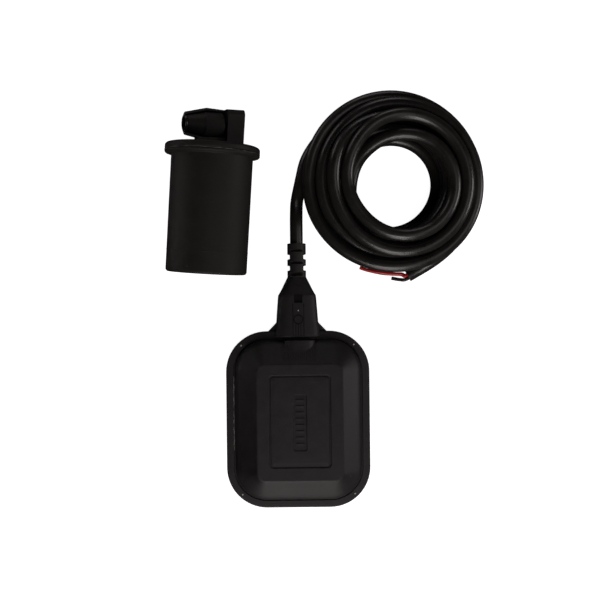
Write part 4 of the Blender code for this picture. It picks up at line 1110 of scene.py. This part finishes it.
def build_mouth_ring():
    profile = fillet([(4.85, -19.9), (4.85, -21.2), (5.15, -21.55), (5.75, -21.55), (6.1, -21.0),
                      (6.1, -20.4), (5.75, -19.85), (5.1, -19.8), (4.85, -19.9)], 0.25)[:-1]
    ring = finish("mouth_ring", turned(profile, 72, ring=True, axis="x"), COLLAR, "stop",
                  place=CLAMP_FRAME @ Matrix.Translation((0, CLAMP_H, 0)))
    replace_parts(ring, "stop_ring")


# ---------------------------------------------------------------------------- inner pieces
INNER_PIECES = (
    (RUBBER, ("seam_gasket", "cable_grommet")),
    (NYLON, ("gland_washer", "switch_chamber", "chamber_lid", "ball_track")),
    (RESIN, ("potting_collar",)),
    (STEEL, ("steel_ball", "switch_lever", "lever_pin", "switch_bracket", "switch_screw_a",
             "switch_screw_b")),
    (BAKELITE, ("microswitch_case",)),
    (PLUNGER, ("microswitch_plunger",)),
    (BRASS, ("terminal_common", "terminal_open", "terminal_closed")),
    (RED, ("inner_lead_red",)),
    (BLACK, ("inner_lead_black",)),
    (GREEN, ("inner_lead_green",)),
    (IRON, ("ballast_slug",)),
)


def paint_inner_pieces():
    """The pieces kept from the CAD get their materials."""
    for material, nodes in INNER_PIECES:
        for node in nodes:
            slots = frame["nodes"][node].data.materials
            slots.clear()
            slots.append(material)


# ---------------------------------------------------------------------------- stage (metres)
WORLD_LIGHT = 0.0                                    # the white background lights nothing
LIGHT_COLOR = (1.0, 0.935, 0.93)
LIGHT_DISTANCE, LIGHT_SIZE = 1.6, 0.7
LIGHT_AIM = (0, 0.08, 0)
# name, tilt from the vertical, turn from +X towards +Y (degrees), power (W)
LIGHTS = (("key_below", 48, 270, 9.0), ("key_low_right", 79, 0, 6.3), ("low_below", 79, 270, 5.6),
          ("low_above", 79, 90, 2.2), ("low_above_left", 79, 135, 2.1),
          ("high_right", 28, 0, 1.5), ("high_below_right", 28, 300, 0.8))
CAMERA_AT, CAMERA_ROLL = (0.00220, 0.08705, 0.633), radians(0.6)


def build_floor():
    """A floor that glows white to the camera and is dark grey to the light it bounces."""
    s = ShaderTree("pale_floor")
    tint = s.noise(s.object_coords(), scale=3.0, Detail=2.0)
    seen = s.node("ShaderNodeLightPath").outputs["Is Camera Ray"]
    bounce, pale, paler = (0.10,) * 3, (0.78,) * 3, (0.84,) * 3
    glow = 0.97
    s.out({"Base Color": s.mix(seen, bounce, s.mix(tint, pale, paler)), "Roughness": 0.9,
           "Specular IOR Level": 0.0, "Emission Color": (1, 1, 1, 1),
           "Emission Strength": s.times(seen, glow)})
    half, z = 6, -0.0004
    bm = bmesh.new()
    bm.faces.new([bm.verts.new((x * half, y * half, z))
                  for x, y in ((-1, -1), (1, -1), (1, 1), (-1, 1))])
    floor = linked_object("floor", bm)
    floor.data.materials.append(s.material)


def build_world():
    """White to the camera, WORLD_LIGHT to everything else."""
    world = bpy.data.worlds.new("studio")
    world.use_nodes = True
    tree = world.node_tree
    background = tree.nodes["Background"]
    path = tree.nodes.new("ShaderNodeLightPath")
    mixer = tree.nodes.new("ShaderNodeMix")
    mixer.data_type = "FLOAT"
    mixer.inputs[2].default_value, mixer.inputs[3].default_value = WORLD_LIGHT, 1.0
    tree.links.new(path.outputs["Is Camera Ray"], mixer.inputs[0])
    tree.links.new(mixer.outputs[0], background.inputs["Strength"])
    background.inputs["Color"].default_value = (1, 1, 1, 1)
    bpy.context.scene.world = world


def softbox(name, at, aim, width, height, power, spread=180):
    light = bpy.data.lights.new(name, "AREA")
    light.shape, light.size, light.size_y = "RECTANGLE", width, height
    light.energy, light.spread, light.color = power, radians(spread), LIGHT_COLOR
    ob = bpy.data.objects.new(name, light)
    ob.location = at
    ob.rotation_euler = (Vector(aim) - Vector(at)).to_track_quat("-Z", "Y").to_euler()
    bpy.context.scene.collection.objects.link(ob)


def build_lights():
    for name, tilt, turn, power in LIGHTS:
        t, a = radians(tilt), radians(turn)
        at = (LIGHT_DISTANCE * sin(t) * cos(a), LIGHT_AIM[1] + LIGHT_DISTANCE * sin(t) * sin(a),
              LIGHT_DISTANCE * cos(t))
        softbox(name, at, LIGHT_AIM, width=LIGHT_SIZE, height=LIGHT_SIZE, power=power)
    softbox("grid_left", at=(-0.60, 0.185, 0.06), aim=(-0.062, 0.165, 0.03), width=0.2,
            height=0.15, power=0.013, spread=24)


def build_camera():
    lens = bpy.data.cameras.new("camera")
    lens.lens, lens.sensor_width = 50.0, 36.0
    lens.clip_start, lens.clip_end = 0.01, 20
    camera = bpy.data.objects.new("camera", lens)
    camera.location = CAMERA_AT
    camera.rotation_euler = (0, 0, -CAMERA_ROLL)
    scene = bpy.context.scene
    scene.collection.objects.link(camera)
    scene.camera = camera
    scene.view_settings.view_transform = "Standard"
    scene.view_settings.look = "None"


# ---------------------------------------------------------------------------- build
build_shell("float_top", 1, "float_top_shell")
build_shell("float_bottom", -1, "float_bottom_shell")
for side, label in SIDES:
    build_neck_boss(side, label)
    build_dome_ribs(side, label)
build_plate_bars()
build_rim_pips()
build_seam_flash()
build_neck()
build_neck_pads()
build_gussets()
build_boot()
build_cable()
build_cores()
build_weight_body()
build_weight_cap()
build_weight_weld()
build_clamp_block()
build_clamp_cradle()
build_clamp_foot()
build_nut()
build_mouth_ring()
paint_inner_pieces()
build_floor()
build_world()
build_lights()
build_camera()
